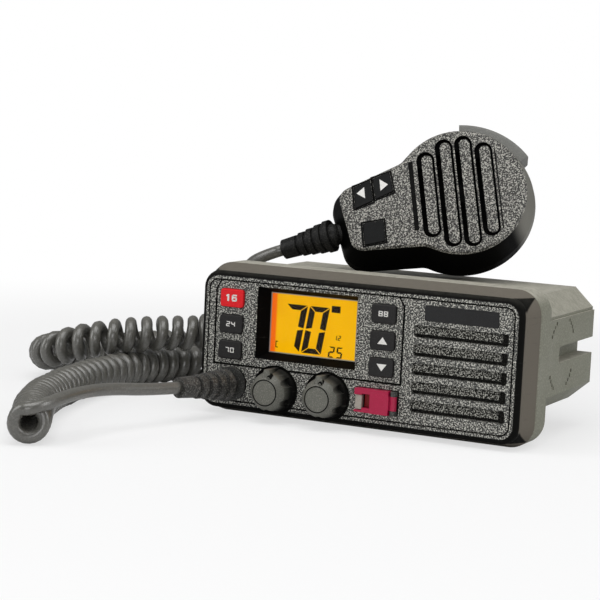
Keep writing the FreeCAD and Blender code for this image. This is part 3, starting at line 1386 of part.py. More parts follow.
def handset_parts(posts):
    wall, travel = size("mic_wall"), size("mic_key_travel")
    bar = sector(size("ptt_inner"), size("ptt_outer"), size("ptt_from"), size("ptt_to"),
                 size("ptt_front"), size("ptt_rear"))
    rim = size("ptt_outer")
    bar_edges = [edge for edge in bar.Edges if edge.BoundBox.DiagonalLength > 30 and edge_radius(edge) > rim - 0.1]
    handset_node("mic_ptt_bar", bar.makeFillet(1.6, bar_edges))
    middle = math.radians((size("ptt_from") + size("ptt_to")) / 2)
    out = Vector(math.cos(middle), 0, math.sin(middle))
    centre = (size("ptt_front") + size("ptt_rear")) / 2
    spring_low = size("ptt_floor")
    spring = Part.makeCylinder(2.2, size("ptt_inner") - spring_low - size("ptt_travel") - 0.1,
                               out * spring_low + Vector(0, centre, 0), out)
    handset_node("mic_ptt_switch", spring)

    board_front = size("mic_board_depth")
    flare, parting = handset_sections()["front"][-1]
    room = loft([(-wall - 1, wall), (flare - wall - 1, parting)])
    for label in HANDSET_KEYS:
        corners = key_corners(label)
        lip_back = wall + 1.1
        key = quad(corners, -size("mic_key_proud"), lip_back + size("mic_key_proud"))
        lip = quad(grow_quad(corners, 0.55), wall + 0.1, 1.0).common(room)
        handset_node(label, key.fuse(lip).removeSplitter())
    plungers = []
    for label in HANDSET_KEYS:
        corners = key_corners(label)
        x = sum(corner[0] for corner in corners) / 4
        z = sum(corner[1] for corner in corners) / 4
        start = wall + 1.1 + travel + 0.1
        plungers.append(Part.makeCylinder(2.2, board_front - start, Vector(x, start, z), Vector(0, 1, 0)))
    handset_node("mic_switches", Part.Compound(plungers))

    board_outline = [teardrop(-3.4, board_front), teardrop(-3.4, board_front + 1.6)]
    board = Part.makeLoft(board_outline, True, True)
    board = board.cut(sector(size("ptt_floor") - wall - 0.6, 60, size("ptt_from") - 8, size("ptt_to") + 8,
                             board_front - 1, board_front + 4))
    for x, z in posts:
        board = board.cut(Part.makeCylinder(3.2, 6, Vector(x, board_front - 2, z), Vector(0, 1, 0)))
    handset_node("mic_board", board)
    capsule = Part.makeCylinder(4.8, board_front - wall - 1.2, Vector(2, wall + 1.2, 0), Vector(0, 1, 0))
    handset_node("mic_capsule", capsule)

    screws = []
    for x, z in posts:
        seat = size("mic_depth") - 9
        stem = Part.makeCylinder(1.25, seat - wall - 3, Vector(x, wall + 3, z), Vector(0, 1, 0))
        screw_head = Part.makeCylinder(2.4, 1.8, Vector(x, seat, z), Vector(0, 1, 0))
        screws.append(stem.fuse(screw_head).removeSplitter())
    handset_node("mic_screws", Part.Compound(screws))

    back = size("mic_depth")
    stud = Part.makeCylinder(size("stud_neck"), size("stud_length") - 2, Vector(0, back + 0.02, 0), Vector(0, 1, 0))
    stud = stud.fuse(Part.makeCylinder(1.45, 6, Vector(0, back - 5, 0), Vector(0, 1, 0)))
    disc = Part.makeCylinder(size("stud_radius"), 2.2, Vector(0, back + size("stud_length") - 2.2, 0),
                             Vector(0, 1, 0))
    handset_node("mic_hanger_stud", stud.fuse(disc).removeSplitter())

    knee, away = handset_knee()
    boot = revolve_boot(size("mic_boot_radius"), size("mic_boot_tip"), size("mic_boot_length"))
    boot.Placement = FreeCAD.Placement(knee, FreeCAD.Rotation(Vector(0, 0, 1), away))
    neck = Part.makeCylinder(size("mic_boot_neck") - 0.1, size("mic_boot_knee") + 6, knee, Vector(1, 0, 0))
    handset_node("mic_boot", neck.fuse([Part.makeSphere(size("mic_boot_neck") + 0.9, knee), boot]).removeSplitter())


def handset_knee():
    """Handset frame: where the boot's axis bends, and the way it points from there."""
    tail = -size("mic_tail_length") - size("mic_front_flare")
    back, up = rad("mic_boot_back"), rad("mic_boot_up")
    away = Vector(-math.cos(back) * math.cos(up), math.sin(back) * math.cos(up), math.sin(up))
    return Vector(tail - size("mic_boot_knee"), boot_axis_depth(), 0), away


def edge_radius(edge):
    return getattr(edge.Curve, "Radius", 0.0)


# ---------------------------------------------------------------- curly cord
def handset_boot_tip():
    """World point and outward direction of the handset boot's end."""
    place = handset_placement()
    knee, away = handset_knee()
    return place.multVec(knee + away * size("mic_boot_length")), place.Rotation.multVec(away)


def rounded_path(points, name):
    """Straight runs joined by tangent arcs, with each arc as wide as its shorter run allows."""
    edges = []
    start = points[0]
    radii = []
    for before, corner, after in zip(points, points[1:], points[2:]):
        into, out_of = corner - before, after - corner
        shorter = min(into.Length, out_of.Length)
        into, out_of = into.normalize(), out_of.normalize()
        half_turn = into.getAngle(out_of) / 2
        trim = 0.45 * shorter
        radii.append(trim / math.tan(half_turn))
        first, last = corner - into * trim, corner + out_of * trim
        towards = (out_of - into).normalize()
        middle = corner + towards * (radii[-1] / math.cos(half_turn) - radii[-1])
        edges.append(Part.LineSegment(start, first).toShape())
        edges.append(Part.Arc(first, middle, last).toShape())
        start = last
    edges.append(Part.LineSegment(start, points[-1]).toShape())
    path = Part.Wire(edges)
    rounded = [round(radius, 1) for radius in radii]
    print(f"{name}: length {path.Length:.1f} mm, bend radii {rounded}")
    return path


def tube(points, radius, name):
    path = rounded_path(points, name)
    along = points[1] - points[0]
    profile = Part.Wire([Part.makeCircle(radius, points[0], along)])
    solid = path.makePipeShell([profile], True, False)
    expected = math.pi * radius ** 2 * path.Length
    print(f"{name}: volume {solid.Volume:.0f} against {expected:.0f} mm3")
    return solid


def coil_points():
    """Centreline of the coiled part, from the ring in front to its end beside the case."""
    axis = size("coil_diameter") / 2 + 0.1
    return [
        Vector(-83.0, -174.5, axis), Vector(-97.0, -151.0, axis), Vector(-114.0, -127.0, axis),
        Vector(-130.0, -98.0, axis), Vector(-140.5, -62.0, axis), Vector(-144.5, -24.0, axis),
        Vector(-139.0, 6.0, axis), Vector(-125.0, 29.0, axis), Vector(-108.0, 48.0, axis),
        Vector(-99.0, 70.0, axis), Vector(-107.0, 92.0, axis), Vector(-130.0, 98.0, axis),
        Vector(-154.0, 84.0, axis), Vector(-173.0, 58.0, axis), Vector(-184.0, 28.0, axis + 2.5),
        Vector(-181.0, -1.0, axis + 9.0), Vector(-163.0, -17.0, axis + 17.0), Vector(-141.0, -12.0, axis + 20.7),
        Vector(-127.0, -1.0, axis + 16.4), Vector(-120.0, 4.9, axis + 16.2),
    ]


def radio_lead_points():
    """From the panel boot's tip forwards to the side of the coil, near its first turn."""
    tip = boot_tip()
    away = boot_rotation().multVec(Vector(0, 0, 1))
    coil = coil_points()
    along = (coil[1] - coil[0]).normalize()
    across = Vector(along.y, -along.x, 0)
    joint = coil[0] + along * 8.0
    end = joint + across * (size("coil_diameter") / 2 - size("lead_sink"))
    return [tip, tip + away * 20.0, Vector(-81.0, -122.0, 15.5), Vector(-76.0, -142.0, 14.0),
            end + Vector(0, 0, 1.0)]


def mic_lead_points():
    """From the coil's far end up beside the case and over its edge to the handset's boot."""
    coil = coil_points()
    onward = (coil[-1] - coil[-2]).normalize()
    tip, away = handset_boot_tip()
    return [coil[-1], coil[-1] + onward * 15.0, Vector(-94.5, 19.5, 36.5), Vector(-88.0, 14.0, 54.0),
            Vector(-82.0, 4.1, 63.4), tip + away * 11.3, tip]


def cord_parts():
    wire = size("cord_diameter") / 2
    for label, points, radius in (
            ("cord_lead_radio", radio_lead_points(), wire),
            ("cord_coil", coil_points(), size("coil_diameter") / 2),
            ("cord_lead_mic", mic_lead_points(), wire)):
        item = doc.addObject("Part::Feature", label + "_solid")
        item.Shape = tube(points, radius, label)
        node(label, item)


# ---------------------------------------------------------------- build and write
front_panel()
rear_housing()
panel_gasket()
display_parts()
panel_keys()
name_plate()
for knob_name, knob_x in KNOBS.items():
    rotary_control(knob_name, knob_x)
distress_parts()
loudspeaker()
cord_outlet()
inside_parts()
heat_sink()
rear_fittings()
doc.recompute()
handset_parts(handset_shells())
cord_parts()
doc.recompute()

failed = [item.Name for item in doc.Objects if "Invalid" in item.State or "Error" in item.State]
if failed:
    raise RuntimeError(f"features with errors: {failed}")
os.makedirs("parts", exist_ok=True)
for item in NODES:
    shape = item.Shape
    if shape.isNull() or not shape.isValid() or shape.Volume <= 0:
        raise RuntimeError(f"{item.Label} is not a valid solid")
    box = shape.BoundBox
    print(f"{item.Label:20s} solids {len(shape.Solids)} volume {shape.Volume / 1000:8.2f} cm3 "
          f"x {box.XMin:7.1f} {box.XMax:7.1f} y {box.YMin:7.1f} {box.YMax:7.1f} z {box.ZMin:6.1f} {box.ZMax:6.1f}")
    shape.exportStep(f"parts/{item.Label}.step")
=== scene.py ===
import math
import bmesh
import bpy
from mathutils import Matrix, Vector


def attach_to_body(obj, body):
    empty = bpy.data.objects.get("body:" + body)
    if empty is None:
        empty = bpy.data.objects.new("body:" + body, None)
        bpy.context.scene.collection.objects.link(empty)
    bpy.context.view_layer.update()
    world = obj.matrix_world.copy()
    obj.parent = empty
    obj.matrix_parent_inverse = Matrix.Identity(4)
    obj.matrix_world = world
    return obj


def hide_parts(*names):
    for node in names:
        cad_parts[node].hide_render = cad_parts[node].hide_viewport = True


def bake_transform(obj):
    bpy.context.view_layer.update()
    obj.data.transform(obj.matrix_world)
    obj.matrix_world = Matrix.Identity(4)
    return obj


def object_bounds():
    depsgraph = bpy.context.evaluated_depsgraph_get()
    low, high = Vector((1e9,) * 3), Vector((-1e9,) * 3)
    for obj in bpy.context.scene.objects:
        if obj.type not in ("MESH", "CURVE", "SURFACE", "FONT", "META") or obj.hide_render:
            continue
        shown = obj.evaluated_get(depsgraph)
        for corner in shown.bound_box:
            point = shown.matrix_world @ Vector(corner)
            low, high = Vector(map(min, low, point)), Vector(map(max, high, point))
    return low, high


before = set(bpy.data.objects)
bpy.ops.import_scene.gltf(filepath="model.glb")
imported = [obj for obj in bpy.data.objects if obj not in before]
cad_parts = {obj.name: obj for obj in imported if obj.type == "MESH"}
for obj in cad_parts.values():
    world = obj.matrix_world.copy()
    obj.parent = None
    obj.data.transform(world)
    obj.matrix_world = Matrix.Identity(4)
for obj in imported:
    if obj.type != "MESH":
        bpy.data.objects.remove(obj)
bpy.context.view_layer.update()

MM = 0.001


def at(x, y, z):
    """A point given in millimetres, as a vector in metres."""
    return Vector((x, y, z)) * MM


# ---------------------------------------------------------------- camera, floor and lights
CAMERA_PLACE = at(339.387, -799.191, 149.731)
CAMERA_RIGHT = Vector((0.8951131, 0.4431529, 0.0488676))
CAMERA_UP = Vector((-0.0930751, 0.0785483, 0.9925559))
CAMERA_BACK = Vector((0.4360155, -0.8929982, 0.1115561))
CAMERA_LENS = 114.06


def place_camera():
    lens = bpy.data.cameras.new("camera")
    lens.lens = CAMERA_LENS
    lens.sensor_width = 36.0
    lens.clip_start = 0.01
    lens.clip_end = 50.0
    camera = bpy.data.objects.new("camera", lens)
    turn = Matrix((CAMERA_RIGHT, CAMERA_UP, CAMERA_BACK)).transposed().to_4x4()
    camera.matrix_world = Matrix.Translation(CAMERA_PLACE) @ turn
    bpy.context.scene.collection.objects.link(camera)
    bpy.context.scene.camera = camera


def colour(red, green, blue):
    """A display colour of 0 to 255 as a linear colour."""
    def linear(value):
        value /= 255.0
        return value / 12.92 if value <= 0.04045 else ((value + 0.055) / 1.055) ** 2.4
    return (linear(red), linear(green), linear(blue), 1.0)


def add_lamp(name, place, aim, size, watts):
    lamp = bpy.data.lights.new(name, "AREA")
    lamp.shape = "RECTANGLE"
    lamp.size, lamp.size_y = size
    lamp.energy = watts
    item = bpy.data.objects.new(name, lamp)
    item.location = place
    item.rotation_euler = (Vector(aim) - Vector(place)).to_track_quat("-Z", "Y").to_euler()
    bpy.context.scene.collection.objects.link(item)


# name, place, the point it is aimed at, width and height, watts
LAMPS = (
    ("softbox_above", (0.10, -0.30, 1.10), (0.0, 0.0, 0.05), (1.1, 0.9), 9.0),
    ("softbox_left", (-0.95, -0.75, 0.55), (-0.03, 0.0, 0.06), (0.7, 0.9), 6.0),
    ("softbox_front", (0.55, -1.35, 0.42), (0.0, 0.0, 0.06), (0.8, 0.5), 4.2),
    ("strip_right", (0.95, 0.15, 0.50), (0.02, 0.0, 0.08), (0.35, 0.8), 3.4),
)
WHITE = (1.0, 1.0, 1.0, 1.0)
ROOM_COLOUR = colour(236, 238, 240)
ROOM_STRENGTH = 0.26
FLOOR_HALF_WIDTH = 6.0
FLOOR_COLOUR = (0.80, 0.80, 0.80, 1.0)
FLOOR_ROUGHNESS = 0.85
FLOOR_FADE = (0.22, 0.60)
FLOOR_GLOW = (0.62, 1.0)


def seen_directly(nodes, links):
    """1 for what the camera sees, also through clear plastic, and 0 for light that falls on pieces."""
    ray = nodes.new("ShaderNodeLightPath")
    either = nodes.new("ShaderNodeMath")
    either.operation = "MAXIMUM"
    links.new(ray.outputs["Is Camera Ray"], either.inputs[0])
    links.new(ray.outputs["Is Transmission Ray"], either.inputs[1])
    return either.outputs[0]


def light_the_studio():
    for lamp in LAMPS:
        add_lamp(*lamp)
    world = bpy.data.worlds.new("studio")
    bpy.context.scene.world = world
    world.use_nodes = True
    nodes, links = world.node_tree.nodes, world.node_tree.links
    nodes.clear()
    out = nodes.new("ShaderNodeOutputWorld")
    room = nodes.new("ShaderNodeBackground")
    room.inputs["Color"].default_value = ROOM_COLOUR
    room.inputs["Strength"].default_value = ROOM_STRENGTH
    white = nodes.new("ShaderNodeBackground")
    white.inputs["Color"].default_value = WHITE
    white.inputs["Strength"].default_value = 1.0
    mix = nodes.new("ShaderNodeMixShader")
    links.new(seen_directly(nodes, links), mix.inputs["Fac"])
    links.new(room.outputs["Background"], mix.inputs[1])
    links.new(white.outputs["Background"], mix.inputs[2])
    links.new(mix.outputs["Shader"], out.inputs["Surface"])


def lay_the_floor():
    """Pale paper that keeps the object's shadow, and glows into the white background further away."""
    half = FLOOR_HALF_WIDTH
    mesh = bpy.data.meshes.new("floor")
    corners = [(-half, -half, 0.0), (half, -half, 0.0), (half, half, 0.0), (-half, half, 0.0)]
    mesh.from_pydata(corners, [], [(0, 1, 2, 3)])
    floor = bpy.data.objects.new("floor", mesh)
    floor.location = (0.0, 0.0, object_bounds()[0][2])
    bpy.context.scene.collection.objects.link(floor)
    paper = bpy.data.materials.new("floor_paper")
    paper.use_nodes = True
    nodes, links = paper.node_tree.nodes, paper.node_tree.links
    base = nodes["Principled BSDF"]
    base.inputs["Base Color"].default_value = FLOOR_COLOUR
    base.inputs["Roughness"].default_value = FLOOR_ROUGHNESS
    glow = nodes.new("ShaderNodeEmission")
    glow.inputs["Color"].default_value = WHITE
    place = nodes.new("ShaderNodeTexCoord")
    reach = nodes.new("ShaderNodeVectorMath")
    reach.operation = "LENGTH"
    fade = nodes.new("ShaderNodeMapRange")
    fade.interpolation_type = "SMOOTHSTEP"
    fade.inputs["From Min"].default_value, fade.inputs["From Max"].default_value = FLOOR_FADE
    fade.inputs["To Min"].default_value, fade.inputs["To Max"].default_value = FLOOR_GLOW
    links.new(place.outputs["Object"], reach.inputs[0])
    links.new(reach.outputs["Value"], fade.inputs["Value"])
    share = nodes.new("ShaderNodeMath")
    share.operation = "MULTIPLY"
    links.new(fade.outputs["Result"], share.inputs[1])
    mix = nodes.new("ShaderNodeMixShader")
    links.new(seen_directly(nodes, links), share.inputs[0])
    links.new(share.outputs[0], mix.inputs["Fac"])
    links.new(base.outputs["BSDF"], mix.inputs[1])
    links.new(glow.outputs["Emission"], mix.inputs[2])
    links.new(mix.outputs["Shader"], nodes["Material Output"].inputs["Surface"])
    floor.data.materials.append(paper)


place_camera()
light_the_studio()
lay_the_floor()
bpy.context.scene.view_settings.view_transform = "Standard"


# ---------------------------------------------------------------- shared surface effects
def new_group(name, inputs, outputs):
    """A shader node group with plain number sockets, and its input and output nodes."""
    group = bpy.data.node_groups.new(name, "ShaderNodeTree")
    for label, value in inputs:
        socket = group.interface.new_socket(label, in_out="INPUT", socket_type="NodeSocketFloat")
        socket.default_value = value
    for label in outputs:
        group.interface.new_socket(label, in_out="OUTPUT", socket_type="NodeSocketFloat")
    return group, group.nodes.new("NodeGroupInput"), group.nodes.new("NodeGroupOutput")


def noise_in(group, place, scale, detail, roughness=0.5):
    noise = group.nodes.new("ShaderNodeTexNoise")
    noise.inputs["Detail"].default_value = detail
    noise.inputs["Roughness"].default_value = roughness
    group.links.new(place, noise.inputs["Vector"])
    if isinstance(scale, (int, float)):
        noise.inputs["Scale"].default_value = scale
    else:
        group.links.new(scale, noise.inputs["Scale"])
    return noise.outputs["Fac"]


def ramp_in(group, value, low, high):
    """The value stretched so that low becomes 0 and high becomes 1, with soft ends."""
    ramp = group.nodes.new("ShaderNodeMapRange")
    ramp.interpolation_type = "SMOOTHSTEP"
    for label, limit in (("From Min", low), ("From Max", high)):
        if isinstance(limit, (int, float)):
            ramp.inputs[label].default_value = limit
        else:
            group.links.new(limit, ramp.inputs[label])
    group.links.new(value, ramp.inputs["Value"])
    return ramp.outputs["Result"]


def maths_in(group, kind, first, second):
    step = group.nodes.new("ShaderNodeMath")
    step.operation = kind
    for socket, value in zip(step.inputs, (first, second)):
        if isinstance(value, (int, float)):
            socket.default_value = value
        else:
            group.links.new(value, socket)
    return step.outputs["Value"]


def product_in(group, first, second, third=1.0):
    """Two values multiplied, or three."""
    pair = maths_in(group, "MULTIPLY", first, second)
    return pair if third == 1.0 else maths_in(group, "MULTIPLY", pair, third)


def inverse_in(group, value):
    return maths_in(group, "SUBTRACT", 1.0, value)


def reach_in(group, vector, direction):
    """How far a vector goes along a fixed direction."""
    step = group.nodes.new("ShaderNodeVectorMath")
    step.operation = "DOT_PRODUCT"
    group.links.new(vector, step.inputs[0])
    step.inputs[1].default_value = direction
    return step.outputs["Value"]


def build_grain_group():
    """Moulded grain: a speckle mask and a height, at a chosen number of grains a metre. On the black panel
    and handset the speckle carries painted glints.
    """
    inputs = [("Grains", 1500.0), ("Sparse", 0.5)]
    group, given, result = new_group("moulded_grain", inputs, ["Speckle", "Height"])
    place = group.nodes.new("ShaderNodeTexCoord").outputs["Object"]
    fine = noise_in(group, place, given.outputs["Grains"], 2.0, 0.6)
    top = maths_in(group, "ADD", given.outputs["Sparse"], 0.13)
    group.links.new(ramp_in(group, fine, given.outputs["Sparse"], top), result.inputs["Speckle"])
    group.links.new(fine, result.inputs["Height"])
    return group


def build_wear_group():
    """Handling wear: slow patches for roughness, and thin scuffs."""
    inputs = [("Patches", 40.0), ("Scuffs", 0.5)]
    group, given, result = new_group("handling_wear", inputs, ["Patch", "Scuff"])
    place = group.nodes.new("ShaderNodeTexCoord").outputs["Object"]
    slow = noise_in(group, place, given.outputs["Patches"], 3.0)
    stretch = group.nodes.new("ShaderNodeMapping")
    stretch.inputs["Scale"].default_value = (90.0, 90.0, 700.0)
    stretch.inputs["Rotation"].default_value = (0.4, 0.7, 0.2)
    group.links.new(place, stretch.inputs["Vector"])
    thin = noise_in(group, stretch.outputs["Vector"], 1.0, 4.0, 0.7)
    lines = ramp_in(group, thin, 0.60, 0.72)
    scuff = product_in(group, lines, slow, given.outputs["Scuffs"])
    group.links.new(ramp_in(group, slow, 0.3, 0.7), result.inputs["Patch"])
    group.links.new(scuff, result.inputs["Scuff"])
    return group


def build_dust_and_top_light_group():
    """Settled dusting: a thin mask on what faces up, which on the case is also a painted top light."""
    group, given, result = new_group("dust_and_top_light_film", [("Amount", 0.3)], ["Dust"])
    facing = group.nodes.new("ShaderNodeNewGeometry")
    parts = group.nodes.new("ShaderNodeSeparateXYZ")
    group.links.new(facing.outputs["Normal"], parts.inputs["Vector"])
    up = ramp_in(group, parts.outputs["Z"], 0.35, 1.0)
    place = group.nodes.new("ShaderNodeTexCoord").outputs["Object"]
    cloud = ramp_in(group, noise_in(group, place, 300.0, 5.0, 0.7), 0.05, 0.75)
    group.links.new(product_in(group, up, cloud, given.outputs["Amount"]), result.inputs["Dust"])
    return group


RIM_X = (76.5 * MM, 77.0 * MM)
RIM_TOP = (65.2 * MM, 65.6 * MM)
RIM_BOTTOM = (-3.2 * MM, -2.8 * MM)
RIM_REAR = (-45.4 * MM, -44.6 * MM)
SLOTS_MIDDLE_X = 45.5 * MM
SLOTS_MIDDLE_Z = 30.0 * MM
SLOTS_HALF_WIDTH = 22.5 * MM
SLOTS_HALF_HEIGHT = 25.0 * MM
SLOT_DEPTH = (-47.05 * MM, -46.9 * MM)
SLOT_SHARE = 0.7


def build_zone_group():
    """Masks of painted light for a panel: painted shade behind a plane, a painted highlight on the lit
    side walls round its edge, and inside the speaker's slots, where the painted shade is mostly taken
    back.
    """
    inputs = [("Start", 0.0), ("End", 0.001)]
    group, given, result = new_group("painted_light_zones", inputs, ["Behind", "Rim Highlight", "Slot"])
    parts = group.nodes.new("ShaderNodeSeparateXYZ")
    group.links.new(group.nodes.new("ShaderNodeTexCoord").outputs["Object"], parts.inputs["Vector"])
    depth = parts.outputs["Y"]
    behind = ramp_in(group, depth, given.outputs["Start"], given.outputs["End"])
    group.links.new(behind, result.inputs["Behind"])
    # the panel's outer side walls, which take a painted highlight
    wide = ramp_in(group, maths_in(group, "ABSOLUTE", parts.outputs["X"], 0.0), *RIM_X)
    high = ramp_in(group, parts.outputs["Z"], *RIM_TOP)
    low = ramp_in(group, maths_in(group, "MULTIPLY", parts.outputs["Z"], -1.0), *RIM_BOTTOM)
    outer = maths_in(group, "MAXIMUM", maths_in(group, "MAXIMUM", wide, high), low)
    group.links.new(product_in(group, outer, ramp_in(group, depth, *RIM_REAR)), result.inputs["Rim Highlight"])
    across = maths_in(group, "SUBTRACT", parts.outputs["X"], SLOTS_MIDDLE_X)
    upwards = maths_in(group, "SUBTRACT", parts.outputs["Z"], SLOTS_MIDDLE_Z)
    in_width = maths_in(group, "LESS_THAN", maths_in(group, "ABSOLUTE", across, 0.0), SLOTS_HALF_WIDTH)
    in_height = maths_in(group, "LESS_THAN", maths_in(group, "ABSOLUTE", upwards, 0.0), SLOTS_HALF_HEIGHT)
    inside = product_in(group, in_width, in_height)
    slot = product_in(group, inside, ramp_in(group, depth, *SLOT_DEPTH), SLOT_SHARE)
    group.links.new(slot, result.inputs["Slot"])
    return group


HANDSET_BASE = at(19.5, 19.0, 105.435)
HANDSET_ALONG = Vector((0.84321, 0.44782, 0.29742))
HANDSET_UP = Vector((-0.43747, 0.25003, 0.86377))
HANDSET_BACK = Vector((-0.31245, 0.85845, -0.40674))
GRILLE_RADIUS = 28.4 * MM
GRILLE_EDGE = 0.0002
GRILLE_DEPTH = 9.0 * MM
FORE_DEPTH = (24.0 * MM, 29.0 * MM)
FLANK_DEPTH = (0.9 * MM, 1.3 * MM)
UNDER_WAY = HANDSET_ALONG * 0.788 + HANDSET_UP * 0.616
UNDER_LEVEL = (-3.0 * MM, 7.0 * MM)


def build_grille_group():
    """Masks for the handset: painted shade in its grille's hollows and on its fore underside, and a
    painted highlight on its fore flank.
    """
    group, given, result = new_group("handset_light_masks", [("Deep", 0.00036)], ["Dark", "Flank Highlight"])
    away = group.nodes.new("ShaderNodeVectorMath")
    away.operation = "SUBTRACT"
    group.links.new(group.nodes.new("ShaderNodeTexCoord").outputs["Object"], away.inputs[0])
    away.inputs[1].default_value = HANDSET_BASE
    depth = reach_in(group, away.outputs["Vector"], HANDSET_BACK)
    reach = group.nodes.new("ShaderNodeVectorMath")
    reach.operation = "LENGTH"
    group.links.new(away.outputs["Vector"], reach.inputs[0])
    reach_squared = product_in(group, reach.outputs["Value"], reach.outputs["Value"])
    aside_squared = maths_in(group, "SUBTRACT", reach_squared, product_in(group, depth, depth))
    aside = maths_in(group, "SQRT", aside_squared, 0.0)
    near = maths_in(group, "LESS_THAN", aside, GRILLE_RADIUS)
    start = given.outputs["Deep"]
    deep = ramp_in(group, depth, start, maths_in(group, "ADD", start, GRILLE_EDGE))
    hollow_shade = product_in(group, near, deep, maths_in(group, "LESS_THAN", depth, GRILLE_DEPTH))
    fore = inverse_in(group, ramp_in(group, depth, *FORE_DEPTH))
    flank = product_in(group, ramp_in(group, depth, *FLANK_DEPTH), fore)
    level = reach_in(group, away.outputs["Vector"], UNDER_WAY)
    under = inverse_in(group, ramp_in(group, level, *UNDER_LEVEL))
    # painted shade in the grille's hollows and under the fore flank
    dark = maths_in(group, "MAXIMUM", hollow_shade, product_in(group, flank, under))
    group.links.new(dark, result.inputs["Dark"])
    group.links.new(flank, result.inputs["Flank Highlight"])
    return group


GRAIN = build_grain_group()
WEAR = build_wear_group()
DUST_AND_TOP_LIGHT = build_dust_and_top_light_group()
PAINTED_LIGHT_ZONES = build_zone_group()
HANDSET_LIGHT_MASKS = build_grille_group()
# pale colour on what faces up: dusting, and on the case also a painted top light
DUST_AND_TOP_LIGHT_COLOUR = colour(176, 172, 160)
# painted highlight: the lighter colour of the handset's lit fore flank
HANDSET_SIDE_HIGHLIGHT = colour(104, 102, 94)


def mix_colours(tree, first, second, mask):
    """Colour first, and second where the mask is 1; each is a colour or a socket."""
    mix = tree.nodes.new("ShaderNodeMix")
    mix.data_type = "RGBA"
    tree.links.new(mask, mix.inputs["Factor"])
    for socket, value in ((mix.inputs[6], first), (mix.inputs[7], second)):
        if isinstance(value, tuple):
            socket.default_value = value
        else:
            tree.links.new(value, socket)
    return mix.outputs[2]


def place_group(tree, group, **values):
    node = tree.nodes.new("ShaderNodeGroup")
    node.node_tree = group
    for label, value in values.items():
        node.inputs[label].default_value = value
    return node


# specular level where shade is painted
PAINTED_SHADE_SPECULAR = 0.02


def finish_material(name, base, fleck_and_glint=None, rough=(0.45, 0.6), grains=1500.0, sparse=0.52, bump=0.25,
                    bump_mm=0.05, dust_and_top_light=0.25, scuffs=0.4, metal=0.0, specular=0.5, behind=None, rim_highlight=None,
                    hollow_shade=None):
    """A moulded or metal finish: base colour with flecks, patchy roughness, fine bump, scuffs and a pale
    dusting on what faces up. On the black panel and handset the bright flecks are painted glints, and on
    the case the dusting is also a painted top light.

    behind is (colour, start, end): what lies deeper than start to end in Y takes that colour, as painted
    shade in recesses, where the specular level drops too. rim is the colour of the panel's lit outer side
    walls, a painted highlight. hollow is the colour of painted shade inside the handset's grille and under
    it, where the specular level drops too; with it the handset's fore flank takes a painted highlight.
    """
    material = bpy.data.materials.new(name)
    material.use_nodes = True
    tree = material.node_tree
    shader = tree.nodes["Principled BSDF"]
    grain = place_group(tree, GRAIN, Grains=grains, Sparse=sparse)
    wear = place_group(tree, WEAR, Scuffs=scuffs)
    film = place_group(tree, DUST_AND_TOP_LIGHT, Amount=dust_and_top_light)
    scuffed = tuple(min(1.0, channel * 1.9 + 0.02) for channel in base[:3]) + (1.0,)
    # second colour in the speckle: real flecks, and on the black panel and handset painted glints
    skin = mix_colours(tree, base, fleck_and_glint, grain.outputs["Speckle"]) if fleck_and_glint else base
    grained, shaded_matt = skin, None
    # painted shade: what lies deeper than a plane takes a darker colour
    if behind:
        zones = place_group(tree, PAINTED_LIGHT_ZONES, Start=behind[1] * MM, End=behind[2] * MM)
        skin = mix_colours(tree, skin, behind[0], zones.outputs["Behind"])
        shaded_matt = zones.outputs["Behind"]
        # painted highlight: the panel's lit outer side walls take a lighter colour
        if rim_highlight:
            skin = mix_colours(tree, skin, rim_highlight, zones.outputs["Rim Highlight"])
            skin = mix_colours(tree, skin, grained, zones.outputs["Slot"])
    skin = mix_colours(tree, skin, scuffed, wear.outputs["Scuff"])
    # dusting on what faces up, and on the case also a painted top light
    skin = mix_colours(tree, skin, DUST_AND_TOP_LIGHT_COLOUR, film.outputs["Dust"])
    # painted highlight on the handset's fore flank, and painted shade in its grille's hollows and under it
    if hollow_shade:
        depths = place_group(tree, HANDSET_LIGHT_MASKS)
        skin = mix_colours(tree, skin, HANDSET_SIDE_HIGHLIGHT, depths.outputs["Flank Highlight"])
        skin = mix_colours(tree, skin, hollow_shade, depths.outputs["Dark"])
        shaded_matt = depths.outputs["Dark"]
    tree.links.new(skin, shader.inputs["Base Color"])
    shine = tree.nodes.new("ShaderNodeMapRange")
    shine.inputs["To Min"].default_value, shine.inputs["To Max"].default_value = rough
    tree.links.new(wear.outputs["Patch"], shine.inputs["Value"])
    tree.links.new(shine.outputs["Result"], shader.inputs["Roughness"])
    relief = tree.nodes.new("ShaderNodeBump")
    relief.inputs["Strength"].default_value = bump
    relief.inputs["Distance"].default_value = bump_mm * MM
    tree.links.new(grain.outputs["Height"], relief.inputs["Height"])
    tree.links.new(relief.outputs["Normal"], shader.inputs["Normal"])
    shader.inputs["Metallic"].default_value = metal
    shader.inputs["Specular IOR Level"].default_value = specular
    # where shade is painted the specular level drops too, so the painted shade stays dark
    if shaded_matt:
        sheen = tree.nodes.new("ShaderNodeMapRange")
        sheen.inputs["To Min"].default_value = specular
        sheen.inputs["To Max"].default_value = PAINTED_SHADE_SPECULAR
        tree.links.new(shaded_matt, sheen.inputs["Value"])
        tree.links.new(sheen.outputs["Result"], shader.inputs["Specular IOR Level"])
    return material


ORANGE_STRIP_X = (-42.2 * MM, -43.6 * MM)


